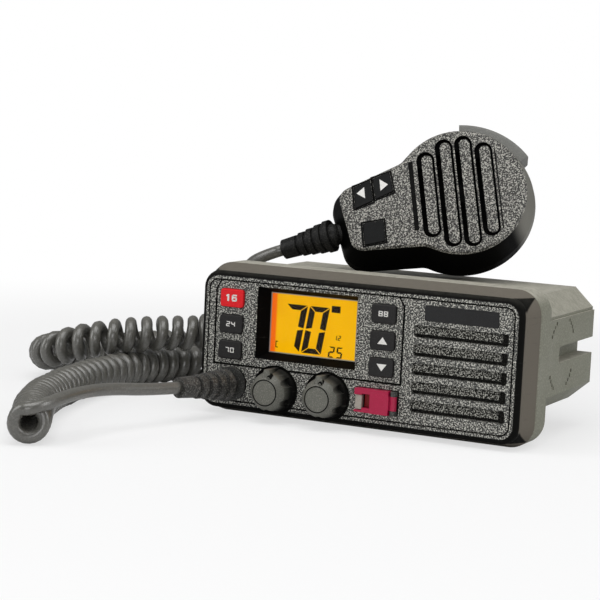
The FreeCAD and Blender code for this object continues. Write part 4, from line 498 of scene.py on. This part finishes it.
def display_material():
    """Backlit liquid-crystal glass: amber, orange at its left edge. Its glow is partly the display's
    backlight and partly painted light, standing in for lamp light that the clear window keeps off it.
    """
    material = bpy.data.materials.new("amber_backlight_and_painted_light")
    material.use_nodes = True
    tree = material.node_tree
    shader = tree.nodes["Principled BSDF"]
    place = tree.nodes.new("ShaderNodeTexCoord").outputs["Object"]
    parts = tree.nodes.new("ShaderNodeSeparateXYZ")
    tree.links.new(place, parts.inputs["Vector"])
    strip = tree.nodes.new("ShaderNodeMapRange")
    strip.interpolation_type = "SMOOTHSTEP"
    strip.inputs["From Min"].default_value, strip.inputs["From Max"].default_value = ORANGE_STRIP_X
    tree.links.new(parts.outputs["X"], strip.inputs["Value"])
    patch = place_group(tree, WEAR, Patches=60.0)
    amber = mix_colours(tree, colour(246, 184, 4), colour(240, 175, 1), patch.outputs["Patch"])
    glow = mix_colours(tree, amber, colour(243, 104, 14), strip.outputs["Result"])
    shader.inputs["Base Color"].default_value = colour(30, 20, 2)
    tree.links.new(glow, shader.inputs["Emission Color"])
    # the glow: partly backlight, partly painted light
    shader.inputs["Emission Strength"].default_value = 0.92
    shader.inputs["Roughness"].default_value = 0.5
    return material


def window_material():
    """Clear moulded window with faint smears."""
    material = bpy.data.materials.new("clear_window")
    material.use_nodes = True
    tree = material.node_tree
    shader = tree.nodes["Principled BSDF"]
    wear = place_group(tree, WEAR, Patches=90.0)
    shine = tree.nodes.new("ShaderNodeMapRange")
    shine.inputs["To Min"].default_value, shine.inputs["To Max"].default_value = (0.03, 0.10)
    tree.links.new(wear.outputs["Patch"], shine.inputs["Value"])
    tree.links.new(shine.outputs["Result"], shader.inputs["Roughness"])
    shader.inputs["Base Color"].default_value = (1.0, 1.0, 1.0, 1.0)
    shader.inputs["Transmission Weight"].default_value = 1.0
    shader.inputs["IOR"].default_value = 1.2
    return material


SURFACES = {
    "face_plastic": dict(
        # painted glints: the bright flecks stand in for highlights on the panel's grain
        base=colour(34, 34, 32), fleck_and_glint=colour(188, 187, 178), grains=1500.0, sparse=0.485, bump=0.7,
        # painted shade: the colour of what lies behind the face plane, in the panel's recesses
        bump_mm=0.12, rough=(0.42, 0.58), dust_and_top_light=0.05, behind=(colour(16, 16, 15), -47.36, -47.24),
        # painted highlight: the lighter colour of the panel's lit outer side walls
        rim_highlight=colour(99, 94, 86)),
    "frame_plastic": dict(
        # painted glints: the bright flecks stand in for highlights on the frame's grain
        base=colour(34, 34, 32), fleck_and_glint=colour(188, 187, 178), grains=1500.0, sparse=0.485, bump=0.25,
        # painted shade: the colour of what lies behind the face plane, in the display frame's recess
        rough=(0.55, 0.7), dust_and_top_light=0.0, specular=0.2, behind=(colour(9, 9, 9), -47.36, -47.24)),
    "collar_plastic": dict(
        base=colour(40, 40, 38), fleck_and_glint=colour(90, 90, 86), grains=1700.0, bump=0.4, rough=(0.4, 0.5),
        # painted shade: the colour of what lies deeper than the panel front, on the collar, tray and hinge
        dust_and_top_light=0.05, behind=(colour(14, 14, 14), -49.0, -48.0)),
    "case_paint": dict(
        base=colour(112, 112, 99), fleck_and_glint=colour(130, 130, 117), grains=1100.0, sparse=0.5, bump=0.2,
        # partly dusting and partly painted light: the case's top is painted lighter
        bump_mm=0.05, rough=(0.5, 0.65), dust_and_top_light=0.95, scuffs=0.4, specular=0.3),
    "seal_rubber": dict(
        base=colour(14, 14, 13), rough=(0.6, 0.8), bump=0.3, specular=0.2),
    "knob_plastic": dict(
        base=colour(92, 92, 85), fleck_and_glint=colour(116, 115, 107), grains=1900.0, bump=0.4, rough=(0.42, 0.55),
        # painted shade: each knob grows darker towards its back, where it sinks into its well
        dust_and_top_light=0.05, specular=0.35, behind=(colour(22, 22, 21), -57.2, -49.5)),
    "key_rubber": dict(
        base=colour(27, 26, 26), fleck_and_glint=colour(38, 36, 36), grains=2600.0, bump=0.2, rough=(0.5, 0.65),
        dust_and_top_light=0.03, specular=0.25),
    "handset_key": dict(
        base=colour(17, 18, 18), fleck_and_glint=colour(26, 26, 26), grains=2600.0, bump=0.2, rough=(0.5, 0.65),
        dust_and_top_light=0.0, scuffs=0.2, specular=0.12),
    "red_rubber": dict(
        base=colour(205, 16, 26), fleck_and_glint=colour(216, 30, 38), grains=2600.0, bump=0.2, rough=(0.4, 0.55),
        dust_and_top_light=0.0, scuffs=0.1, specular=0.25),
    "board_laminate": dict(
        base=colour(22, 78, 44), fleck_and_glint=colour(150, 130, 60), grains=900.0, sparse=0.62, bump=0.2,
        rough=(0.35, 0.5)),
    "switch_plastic": dict(
        base=colour(26, 26, 27), fleck_and_glint=colour(60, 60, 60), grains=1500.0, sparse=0.6, rough=(0.4, 0.55)),
    "guard_magenta": dict(
        base=colour(156, 9, 57), fleck_and_glint=colour(170, 18, 68), grains=2400.0, sparse=0.55, bump=0.25,
        rough=(0.28, 0.42), dust_and_top_light=0.0, scuffs=0.15, specular=0.4),
    "alarm_red": dict(
        base=colour(120, 6, 14), fleck_and_glint=colour(140, 14, 20), grains=2400.0, rough=(0.3, 0.45), dust_and_top_light=0.0,
        specular=0.3),
    "catch_white": dict(
        base=colour(158, 150, 140), fleck_and_glint=colour(140, 133, 124), grains=2000.0, bump=0.15,
        rough=(0.4, 0.5), dust_and_top_light=0.05),
    "steel": dict(
        base=colour(168, 170, 172), rough=(0.22, 0.4), metal=1.0, grains=2600.0, bump=0.12, dust_and_top_light=0.1),
    "plate_film": dict(
        base=colour(24, 24, 25), fleck_and_glint=colour(34, 34, 34), grains=3000.0, bump=0.12, rough=(0.3, 0.45),
        dust_and_top_light=0.02, specular=0.3),
    "grille_cloth": dict(
        base=colour(8, 8, 8), fleck_and_glint=colour(18, 18, 18), grains=3200.0, bump=0.5, rough=(0.85, 0.95),
        dust_and_top_light=0.0, specular=0.1),
    "speaker_weave": dict(
        base=colour(24, 24, 22), fleck_and_glint=colour(56, 55, 52), grains=1900.0, sparse=0.5, bump=0.5,
        rough=(0.8, 0.9), dust_and_top_light=0.0, specular=0.1),
    "cone_paper": dict(
        base=colour(44, 42, 39), fleck_and_glint=colour(70, 66, 60), grains=1200.0, bump=0.5, rough=(0.8, 0.95)),
    "nickel": dict(
        base=colour(186, 182, 172), rough=(0.2, 0.34), metal=1.0, bump=0.08, dust_and_top_light=0.05),
    "brass": dict(
        base=colour(192, 158, 88), rough=(0.22, 0.38), metal=1.0, bump=0.1, dust_and_top_light=0.05),
    "sink_alloy": dict(
        base=colour(96, 97, 95), fleck_and_glint=colour(120, 121, 118), grains=1500.0, metal=0.35,
        rough=(0.45, 0.6), bump=0.25),
    "cord_rubber": dict(
        base=colour(78, 77, 72), fleck_and_glint=colour(94, 92, 87), grains=1300.0, sparse=0.5, bump=0.16,
        bump_mm=0.03, rough=(0.26, 0.36), dust_and_top_light=0.12, scuffs=0.5, specular=0.85),
    "boot_dark": dict(
        base=colour(15, 15, 14), fleck_and_glint=colour(46, 45, 43), grains=1400.0, sparse=0.52, bump=0.5,
        bump_mm=0.08, rough=(0.42, 0.55), dust_and_top_light=0.0, specular=0.2),
    "boot_rubber": dict(
        base=colour(40, 39, 37), fleck_and_glint=colour(92, 90, 86), grains=1400.0, sparse=0.5, bump=0.5,
        bump_mm=0.08, rough=(0.42, 0.55), dust_and_top_light=0.05, specular=0.4),
    "handset_plastic": dict(
        # painted glints: the bright flecks stand in for highlights on the handset's grain
        base=colour(34, 33, 31), fleck_and_glint=colour(164, 162, 154), grains=1500.0, sparse=0.48, bump=0.7,
        # painted shade: the colour inside the handset's grille and under its fore flank
        bump_mm=0.12, rough=(0.40, 0.55), dust_and_top_light=0.03, specular=0.4, hollow_shade=colour(3, 3, 3)),
    "handset_grey": dict(
        base=colour(100, 100, 96), fleck_and_glint=colour(118, 118, 113), grains=2200.0, bump=0.25,
        rough=(0.42, 0.55), dust_and_top_light=0.05, specular=0.35),
    "print_white": dict(
        base=colour(214, 212, 208), fleck_and_glint=colour(196, 194, 190), grains=2600.0, bump=0.05,
        rough=(0.45, 0.55), dust_and_top_light=0.0),
    "display_ink": dict(
        base=colour(24, 14, 4), fleck_and_glint=colour(34, 20, 6), grains=2600.0, bump=0.02, rough=(0.45, 0.55),
        dust_and_top_light=0.0, specular=0.1),
    # painted shade: thin black strips in grooves, steps and gaps
    "painted_groove_shade": dict(
        base=colour(12, 12, 11), fleck_and_glint=colour(24, 24, 23), grains=2600.0, bump=0.2, rough=(0.6, 0.7),
        dust_and_top_light=0.0, scuffs=0.1, specular=0.05),
}
FINISHES = {name: finish_material(name, **values) for name, values in SURFACES.items()}
FINISHES["clear_window"] = window_material()
FINISHES["amber_backlight_and_painted_light"] = display_material()
NODE_FINISH = {
    "face_plastic": "front_panel",
    "frame_plastic": "display_frame",
    "collar_plastic": "distress_tray cord_collar cover_hinge",
    "case_paint": "rear_housing",
    "seal_rubber": "panel_gasket collar_nut",
    "knob_plastic": "volume_knob squelch_knob",
    "key_rubber": "key_channel key_menu key_scan key_up key_down",
    "handset_key": "mic_key_down mic_key_up mic_key_power",
    "red_rubber": "key_calling",
    "clear_window": "display_window",
    "amber_backlight_and_painted_light": "display_module",
    "board_laminate": "control_board main_board",
    "switch_plastic": "key_switches volume_control squelch_control distress_switch mic_switches "
                      "mic_ptt_switch supply_inlet power_module",
    "guard_magenta": "distress_cover",
    "alarm_red": "distress_button",
    "catch_white": "distress_catch",
    "steel": "volume_shaft squelch_shaft cover_pin rf_shield sink_screws case_screws mic_screws "
             "speaker_basket speaker_magnet",
    "plate_film": "name_plate",
    "grille_cloth": "mic_board mic_capsule",
    "speaker_weave": "speaker_cloth",
    "cone_paper": "speaker_cone",
    "nickel": "antenna_socket mic_hanger_stud",
    "brass": "bracket_inserts",
    "sink_alloy": "heat_sink",
    "cord_rubber": "cord_lead_radio cord_coil cord_lead_mic",
    "boot_rubber": "cord_boot",
    "boot_dark": "mic_boot",
    "handset_plastic": "mic_front_shell mic_rear_shell",
    "handset_grey": "mic_ptt_bar",
}


def paint_nodes():
    """Every carried-over CAD node gets its finish."""
    for finish, names in NODE_FINISH.items():
        for name in names.split():
            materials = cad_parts[name].data.materials
            materials.clear()
            materials.append(FINISHES[finish])


def add_piece(name, mesh, finish, smooth=True):
    """A mesh as a named piece in the scene, with its finish."""
    item = bpy.data.objects.new(name, mesh)
    bpy.context.scene.collection.objects.link(item)
    mesh.materials.append(FINISHES[finish])
    for face in mesh.polygons:
        face.use_smooth = smooth
    return item


# ---------------------------------------------------------------- curly cord
CORD_RADIUS = 2.75 * MM
COIL_RADIUS = 6.1 * MM
COIL_AXIS = 8.9
COIL_START_ANGLE = math.radians(62.0)
TURN_STEPS = 24
RING_SIDES = 12
PITCH_AT_RING = 5.9
PITCH_GAIN = 1.8
PITCH_GAIN_START = 0.05
PITCH_GAIN_RUN = 0.22
INNER_PITCH = 5.7
WOBBLE = 0.02
WOBBLE_RATE = 210.0
COIL_POINTS = [
    (-89.0, -166.0, COIL_AXIS + 0.5), (-98.0, -150.0, COIL_AXIS + 0.3), (-108.0, -135.0, COIL_AXIS),
    (-120.0, -112.0, COIL_AXIS), (-130.5, -80.0, COIL_AXIS), (-137.0, -42.0, COIL_AXIS),
    (-136.5, -2.0, COIL_AXIS), (-124.5, 27.0, COIL_AXIS), (-109.0, 46.0, COIL_AXIS),
    (-100.0, 69.0, COIL_AXIS), (-107.5, 90.5, COIL_AXIS), (-130.0, 96.5, COIL_AXIS),
    (-154.0, 82.0, COIL_AXIS), (-174.0, 54.0, COIL_AXIS), (-184.5, 20.0, COIL_AXIS + 0.5),
    (-186.3, -11.0, COIL_AXIS + 2.6), (-171.0, -27.0, COIL_AXIS + 7.4), (-148.0, -22.0, COIL_AXIS + 15.2),
    (-130.0, -7.0, COIL_AXIS + 17.4), (-120.5, 4.4, COIL_AXIS + 18.0),
]
HANDSET_LEAD_POINTS = [
    (-108.5, 14.5, COIL_AXIS + 17.5), (-94.5, 19.5, 36.5), (-88.0, 14.0, 54.0), (-82.0, 4.1, 63.4),
    (-71.2, -0.4, 69.2), (-60.6, 0.8, 73.0),
]
RADIO_LEAD_POINTS = [
    (-69.1, -79.9, 15.65), (-74.8, -97.5, 16.3), (-80.5, -115.0, 18.2), (-83.6, -131.0, 18.8),
    (-83.6, -147.0, 18.6), (-83.8, -160.0, 17.3), (-87.6, -168.6, 15.4),
]
COIL_END = 528.0 * MM
OPENING_PITCH = 26.0
OPENING_RUN = 0.022
CLOSING_DELAY = 0.004
CLOSING_RUN = 0.024
LEAD_JOIN = 3.2
LEAD_STEP = 1.8 * MM


def smooth_line(points, name):
    """Points sampled from the NURBS spline that has these control points, in metres."""
    curve = bpy.data.curves.new(name, "CURVE")
    curve.dimensions = "3D"
    spline = curve.splines.new("NURBS")
    spline.points.add(len(points) - 1)
    for target, point in zip(spline.points, points):
        target.co = (*at(*point), 1.0)
    spline.order_u = 3
    spline.use_endpoint_u = True
    spline.resolution_u = 24
    holder = bpy.data.objects.new(name, curve)
    bpy.context.scene.collection.objects.link(holder)
    bpy.context.view_layer.update()
    mesh = bpy.data.meshes.new_from_object(holder)
    line = [vertex.co.copy() for vertex in mesh.vertices]
    bpy.data.objects.remove(holder)
    bpy.data.meshes.remove(mesh)
    return [line[0]] + [after for before, after in zip(line, line[1:]) if (after - before).length > 1e-7]


def directions(line):
    """The direction of the line at each of its points."""
    ends = [(line[max(i - 1, 0)], line[min(i + 1, len(line) - 1)]) for i in range(len(line))]
    return [(after - before).normalized() for before, after in ends]


def spaced(line, step):
    """The same line at an even step: points, directions and distances from its start."""
    points, distances = [line[0]], [0.0]
    carried, target = 0.0, step
    for first, second in zip(line, line[1:]):
        run = (second - first).length
        while carried + run >= target:
            points.append(first.lerp(second, (target - carried) / run))
            distances.append(target)
            target += step
        carried += run
    return points, directions(points), distances


def carried_side(ways, start):
    """A side direction that is carried along the line without twisting about it."""
    sides = [(start - ways[0] * start.dot(ways[0])).normalized()]
    for way in ways[1:]:
        side = sides[-1] - way * sides[-1].dot(way)
        sides.append(side.normalized())
    return sides


def soft_step(value):
    value = max(0.0, min(1.0, value))
    return value * value * (3.0 - 2.0 * value)


def coil_pitch(distance, bend):
    """Length of route for each turn: tight at the ring, looser further on and round bends."""
    pitch = PITCH_AT_RING + PITCH_GAIN * soft_step((distance - PITCH_GAIN_START) / PITCH_GAIN_RUN)
    around = INNER_PITCH / max(0.35, 1.0 - COIL_RADIUS * bend)
    opened = OPENING_PITCH * soft_step((distance - COIL_END) / OPENING_RUN)
    return (max(pitch, around) + opened) * MM


def coiled_line(line):
    """Centreline of the wire: a left-handed helix round the route that closes into its straight end."""
    step = 0.25 * MM
    points, ways, distances = spaced(line, step)
    sides = carried_side(ways, Vector((0.0, 0.0, 1.0)))
    wire = []
    angle = COIL_START_ANGLE
    last_kept = -10.0
    for index, (point, way, side, distance) in enumerate(zip(points, ways, sides, distances)):
        ahead, behind = ways[min(index + 8, len(ways) - 1)], ways[max(index - 8, 0)]
        bend = (ahead - behind).length / (16 * step)
        radius = COIL_RADIUS * (1.0 - soft_step((distance - COIL_END - CLOSING_DELAY) / CLOSING_RUN))
        across = side.cross(way)
        wobble = 1.0 + WOBBLE * math.sin(distance * WOBBLE_RATE)
        place = point + (side * math.cos(angle) + across * math.sin(angle)) * radius * wobble
        straight = radius < 0.2 * COIL_RADIUS
        turned = angle - last_kept >= 2.0 * math.pi / TURN_STEPS
        if (place - wire[-1]).length > 2.0 * MM if straight else turned:
            wire.append(place)
            last_kept = angle
        angle += 2.0 * math.pi * step / coil_pitch(distance, bend)
    wire[-1] = points[-1]
    return wire


def tube_along(name, line, radius, sides=RING_SIDES):
    """A closed round tube along a line, as a mesh."""
    ways = directions(line)
    reference = Vector((0.0, 0.0, 1.0)) if abs(ways[0].z) < 0.9 else Vector((1.0, 0.0, 0.0))
    normals = carried_side(ways, reference)
    shape = bmesh.new()
    rings = []
    for point, way, normal in zip(line, ways, normals):
        across = way.cross(normal)
        ring = []
        for turn in range(sides):
            angle = 2.0 * math.pi * turn / sides
            spoke = normal * math.cos(angle) + across * math.sin(angle)
            ring.append(shape.verts.new(point + spoke * radius))
        rings.append(ring)
    for first, second in zip(rings, rings[1:]):
        for turn in range(sides):
            following = (turn + 1) % sides
            shape.faces.new((first[turn], first[following], second[following], second[turn]))
    shape.faces.new(list(reversed(rings[0])))
    shape.faces.new(rings[-1])
    shape.normal_update()
    mesh = bpy.data.meshes.new(name)
    shape.to_mesh(mesh)
    shape.free()
    return mesh


def curly_cord():
    """The whole cord: a straight lead from the panel, the coil, and its straight end at the handset."""
    route = smooth_line(COIL_POINTS + HANDSET_LEAD_POINTS, "coil_route")
    coil = coiled_line(route)
    meet = coil[0]
    towards = (coil[1] - coil[0]).normalized()
    lead_points = RADIO_LEAD_POINTS + [tuple((meet - towards * LEAD_JOIN * MM) / MM), tuple(meet / MM)]
    lead = smooth_line(lead_points, "radio_lead_route")
    lead = spaced(lead, LEAD_STEP)[0]
    wire = lead[:-1] + coil
    tight = tightest_bend(lead[:-1] + coil[:3])
    length = sum((second - first).length for first, second in zip(wire, wire[1:]))
    print(f"cord: {length:.3f} m, {len(wire)} rings, tightest bend of the lead {tight / MM:.1f} mm")
    cord = add_piece("curly_cord", tube_along("curly_cord", wire, CORD_RADIUS), "cord_rubber")
    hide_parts("cord_lead_radio", "cord_coil", "cord_lead_mic")
    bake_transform(cord)


def tightest_bend(line):
    """The smallest radius of a circle through points two steps apart."""
    tight = 1.0
    for before, corner, after in zip(line, line[2:], line[4:]):
        first, second, third = (corner - before).length, (after - corner).length, (after - before).length
        area = (corner - before).cross(after - before).length / 2.0
        if area > 1e-12:
            tight = min(tight, first * second * third / (4.0 * area))
    return tight


paint_nodes()
curly_cord()


# ---------------------------------------------------------------- flat marks and prints
def flat_shape(name, outlines, depth, finish, place, axes):
    """Thin raised shapes from outlines in millimetres, on the plane through place that the axes span."""
    right, up, out = axes
    shape = bmesh.new()
    for outline in outlines:
        low = [shape.verts.new(place + (right * x + up * z) * MM) for x, z in outline]
        high = [shape.verts.new(place + (right * x + up * z + out * depth) * MM) for x, z in outline]
        shape.faces.new(high)
        shape.faces.new(list(reversed(low)))
        for index in range(len(outline)):
            following = (index + 1) % len(outline)
            shape.faces.new((low[index], low[following], high[following], high[index]))
    bmesh.ops.recalc_face_normals(shape, faces=shape.faces)
    mesh = bpy.data.meshes.new(name)
    shape.to_mesh(mesh)
    shape.free()
    return add_piece(name, mesh, finish, smooth=False)


PANEL_AXES = (Vector((1.0, 0.0, 0.0)), Vector((0.0, 0.0, 1.0)), Vector((0.0, -1.0, 0.0)))
KEY_FRONT_Y = -48.6
LIGHT_PRINT = 0.06


DIGITS = {
    "0": "top bottom upper_left upper_right lower_left lower_right",
    "1": "upper_right lower_right",
    "2": "top upper_right middle lower_left bottom",
    "4": "upper_left upper_right middle lower_right",
    "5": "top upper_left middle lower_right bottom",
    "6": "top upper_left middle lower_left lower_right bottom",
    "7": "top upper_right lower_right",
    "8": "top bottom middle upper_left upper_right lower_left lower_right",
}


def digit_outlines(digit, corner, size, width, slant):
    """Mitred bars of a seven-segment digit, from its lower left corner and its outer size."""
    wide, high = size
    half, gap, thick = high / 2.0, width * 0.1, width * 0.8
    top = [(gap, high), (wide - gap, high),
           (wide - width - gap, high - thick), (width + gap, high - thick)]
    side = [(0.0, high - gap), (width, high - thick - gap),
            (width, half + gap + width * 0.2), (0.0, half + gap)]
    bars = {
        "top": top,
        "bottom": [(x, high - z) for x, z in top],
        "middle": [(width / 2, half), (width, half + width / 2),
                   (wide - width, half + width / 2), (wide - width / 2, half),
                   (wide - width, half - width / 2), (width, half - width / 2)],
        "upper_left": side,
        "upper_right": [(wide - x, z) for x, z in side],
        "lower_left": [(x, high - z) for x, z in side],
        "lower_right": [(wide - x, high - z) for x, z in side],
    }
    chosen = [bars[part] for part in DIGITS[digit].split()]
    return [[(corner[0] + x + slant * z, corner[1] + z) for x, z in bar] for bar in chosen]


def box(left, low, right, high):
    """The four corners of an upright rectangle."""
    return [(left, low), (right, low), (right, high), (left, high)]


def attach(item, body):
    """The piece moves with a body."""
    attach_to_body(item, body)


# digit, lower left corner, outer size, bar width, slant
DISPLAY_DIGITS = (
    ("7", (-41.5, 31.2), (10.5, 21.4), 2.9, 0.165),
    ("0", (-29.9, 31.2), (9.8, 21.4), 2.9, 0.165),
    ("2", (-16.6, 30.5), (2.9, 5.0), 0.75, 0.12),
    ("5", (-12.7, 30.5), (2.9, 5.0), 0.75, 0.12),
    ("1", (-14.0, 38.4), (1.4, 2.3), 0.42, 0.1),
    ("2", (-12.1, 38.4), (1.4, 2.3), 0.42, 0.1),
)
DISPLAY_FLAG = box(-15.7, 50.7, -11.4, 53.7)
DISPLAY_BRACKET = [
    box(-42.8, 32.3, -41.6, 32.7),
    box(-42.8, 34.9, -41.6, 35.3),
    box(-42.8, 32.7, -42.4, 34.9),
]
DISPLAY_INK_DEPTH = 0.12
DISPLAY_FRONT_Y = -39.06


def display_digits():
    outlines = [DISPLAY_FLAG] + DISPLAY_BRACKET
    for digit in DISPLAY_DIGITS:
        outlines += digit_outlines(*digit)
    place = at(0.0, DISPLAY_FRONT_Y, 0.0)
    digits = flat_shape("display_digits", outlines, DISPLAY_INK_DEPTH, "display_ink", place, PANEL_AXES)
    attach(digits, "radio")


ARROW = [(-2.35, -1.5), (2.35, -1.5), (0.0, 1.6)]
ARROW_KEYS = (
    ("mark_up", "up_key", ARROW, (13.6, 41.9)),
    ("mark_down", "down_key", [(x, -z) for x, z in ARROW], (13.8, 30.2)),
)
SIXTEEN_PLACE = (-61.3, 53.7)
ONE_OUTLINE = [(-2.2, -1.5), (-1.3, -1.5), (-1.3, 1.6), (-2.0, 1.6), (-2.8, 1.1), (-2.8, 0.5), (-2.2, 0.8)]
SIX_OUTLINES = [
    box(0.0, -1.0, 0.8, 1.1),
    [(0.3, 0.9), (2.6, 0.9), (2.6, 1.6), (0.6, 1.6)],
    box(0.3, -1.5, 2.4, -0.85),
    box(0.8, -0.1, 2.4, 0.5),
    box(1.9, -1.2, 2.7, 0.2),
]
NUMBER_KEYS = (
    ("mark_channel", "channel_key", "24", (-61.3, 41.9)),
    ("mark_menu", "menu_key", "70", (-61.3, 30.1)),
    ("mark_scan", "scan_key", "88", (13.3, 53.7)),
)
NUMBER_CORNERS = ((-2.2, -1.15), (0.3, -1.15))
NUMBER_SIZE = (1.95, 2.3)
NUMBER_BAR = 0.46


def key_mark(name, body, outlines, place):
    """White print on a panel key, that is pressed with it."""
    middle = at(place[0], KEY_FRONT_Y, place[1])
    attach(flat_shape(name, outlines, LIGHT_PRINT, "print_white", middle, PANEL_AXES), body)


def key_marks():
    for name, body, outline, place in ARROW_KEYS:
        key_mark(name, body, [outline], place)
    key_mark("mark_sixteen", "calling_key", [ONE_OUTLINE] + SIX_OUTLINES, SIXTEEN_PLACE)


def key_numbers():
    """A plain white number on each of the three keys without an arrow."""
    for name, body, text, place in NUMBER_KEYS:
        outlines = []
        for digit, corner in zip(text, NUMBER_CORNERS):
            outlines += digit_outlines(digit, corner, NUMBER_SIZE, NUMBER_BAR, 0.0)
        key_mark(name, body, outlines, place)


WINDOW_LEFT, WINDOW_LOW, WINDOW_RIGHT, WINDOW_HIGH = -45.4, 30.0, -2.4, 57.4
WINDOW_EDGE = 0.45
WINDOW_EDGE_DEPTH = 0.3
WINDOW_EDGE_Y = -40.2


def window_line():
    """The window's thin pale inner edge."""
    low, high = WINDOW_LOW + WINDOW_EDGE, WINDOW_HIGH - WINDOW_EDGE
    bars = [
        box(WINDOW_LEFT, WINDOW_LOW, WINDOW_RIGHT, low),
        box(WINDOW_LEFT, high, WINDOW_RIGHT, WINDOW_HIGH),
        box(WINDOW_LEFT, low, WINDOW_LEFT + WINDOW_EDGE, high),
        box(WINDOW_RIGHT - WINDOW_EDGE, low, WINDOW_RIGHT, high),
    ]
    place = at(0.0, WINDOW_EDGE_Y, 0.0)
    line = flat_shape("window_edge", bars, WINDOW_EDGE_DEPTH, "catch_white", place, PANEL_AXES)
    attach(line, "radio")


GRILLE_SLANT = math.radians(9.5)
SLANTED_ALONG = HANDSET_ALONG * math.cos(GRILLE_SLANT) - HANDSET_UP * math.sin(GRILLE_SLANT)
SLANTED_UP = HANDSET_ALONG * math.sin(GRILLE_SLANT) + HANDSET_UP * math.cos(GRILLE_SLANT)
HANDSET_AXES = (SLANTED_ALONG, SLANTED_UP, -HANDSET_BACK)
HANDSET_KEY_PROUD = 0.7
MIC_KEYS = [
    [(-49.0, -3.4), (-40.9, -0.4), (-41.3, 9.6), (-48.8, 6.8)],
    [(-39.3, 0.2), (-31.1, 3.3), (-32.1, 12.6), (-39.8, 10.2)],
    [(-46.2, -21.6), (-37.0, -20.6), (-37.0, -10.6), (-46.2, -11.4)],
]
MIC_ARROWS = (
    ("mark_mic_down", "handset_down_key", [(-47.9, 3.7), (-44.2, 1.0), (-44.2, 6.5)]),
    ("mark_mic_up", "handset_up_key", [(-33.1, 6.7), (-36.8, 9.6), (-36.8, 3.9)]),
)
MIC_STEP = box(-22.9, -17.0, -20.8, 17.0)
MIC_FACE_LINE = box(17.2, -20.0, 17.8, 19.0)
MIC_KEY_GAP = (0.35, 1.15)


def grown(corners, by):
    """A four-cornered outline with each corner moved outwards."""
    middle = Vector((sum(x for x, z in corners) / 4.0, sum(z for x, z in corners) / 4.0))
    return [(x + math.copysign(by, x - middle.x), z + math.copysign(by, z - middle.y)) for x, z in corners]


def frame_bars(corners, inner, outer):
    """Four bars that frame a four-cornered outline."""
    near, far = grown(corners, inner), grown(corners, outer)
    return [[near[i], near[(i + 1) % 4], far[(i + 1) % 4], far[i]] for i in range(4)]


def handset_marks():
    """Arrows on the handset's two upper keys, and thin black strips of painted shade on the step between
    its keys and its grille, on a line across its face and round its keys.
    """
    raised = HANDSET_BASE - HANDSET_BACK * HANDSET_KEY_PROUD * MM
    for name, body, outline in MIC_ARROWS:
        mark = flat_shape(name, [outline], LIGHT_PRINT, "print_white", raised, HANDSET_AXES)
        attach(mark, body)
    lines = [MIC_STEP, MIC_FACE_LINE]
    for key in MIC_KEYS:
        lines += frame_bars(key, *MIC_KEY_GAP)
    # painted shade on the step, a line across the face and the gaps round the keys
    line = flat_shape("mic_step_line", lines, LIGHT_PRINT, "painted_groove_shade", HANDSET_BASE, HANDSET_AXES)
    attach(line, "handset")


KNOB_Z = 14.2
KNOB_FRONT_Y = -57.85
# name, body, place across the panel, the pointer's lean from upright in degrees
KNOBS = (
    ("volume_mark", "volume", -38.0, 12.0),
    ("squelch_mark", "squelch", -12.3, 8.0),
)
DISC_RADIUS = 5.75
DISC_STEPS = 48
DISC_LINE_RADIUS = 0.26
# part, radius, how far it is sunk, finish
POINTER_PARTS = (
    # the edge is painted shade along the pointer
    ("edge", 1.1, 0.45, "painted_groove_shade"),
    ("pointer", 0.65, 0.0, "knob_plastic"),
)
# distance from the knob's axis, and depth behind its front, at the pointer's two ends
POINTER_START = (6.6, 0.7)
POINTER_END = (8.2, 2.4)


def pointer_tip(middle, out, tip, sunk):
    """A point on the knob's skirt, from its distance from the axis and its depth."""
    reach, depth = tip
    return middle + out * reach * MM + Vector((0.0, depth + sunk, 0.0)) * MM


def knob_marks():
    """A dark ring of painted shade round each knob's disc, and the pointer on its skirt with an edge of
    painted shade.
    """
    for name, body, knob_x, clock in KNOBS:
        middle = at(knob_x, KNOB_FRONT_Y, KNOB_Z)
        line = []
        for step in range(DISC_STEPS + 1):
            turn = 2.0 * math.pi * step / DISC_STEPS
            line.append(middle + Vector((math.cos(turn), 0.0, math.sin(turn))) * DISC_RADIUS * MM)
        label = name + "_ring"
        # painted shade round the disc
        ring = add_piece(label, tube_along(label, line, DISC_LINE_RADIUS * MM, 8), "painted_groove_shade")
        attach(ring, body)
        lean = math.radians(clock)
        out = Vector((math.sin(lean), 0.0, math.cos(lean)))
        for part, radius, sunk, finish in POINTER_PARTS:
            start = pointer_tip(middle, out, POINTER_START, sunk)
            end = pointer_tip(middle, out, POINTER_END, sunk)
            label = name + "_" + part
            stripe = tube_along(label, [start, start.lerp(end, 0.5), end], radius * MM, 10)
            attach(add_piece(label, stripe, finish), body)


display_digits()
key_marks()
knob_marks()
key_numbers()
window_line()
handset_marks()
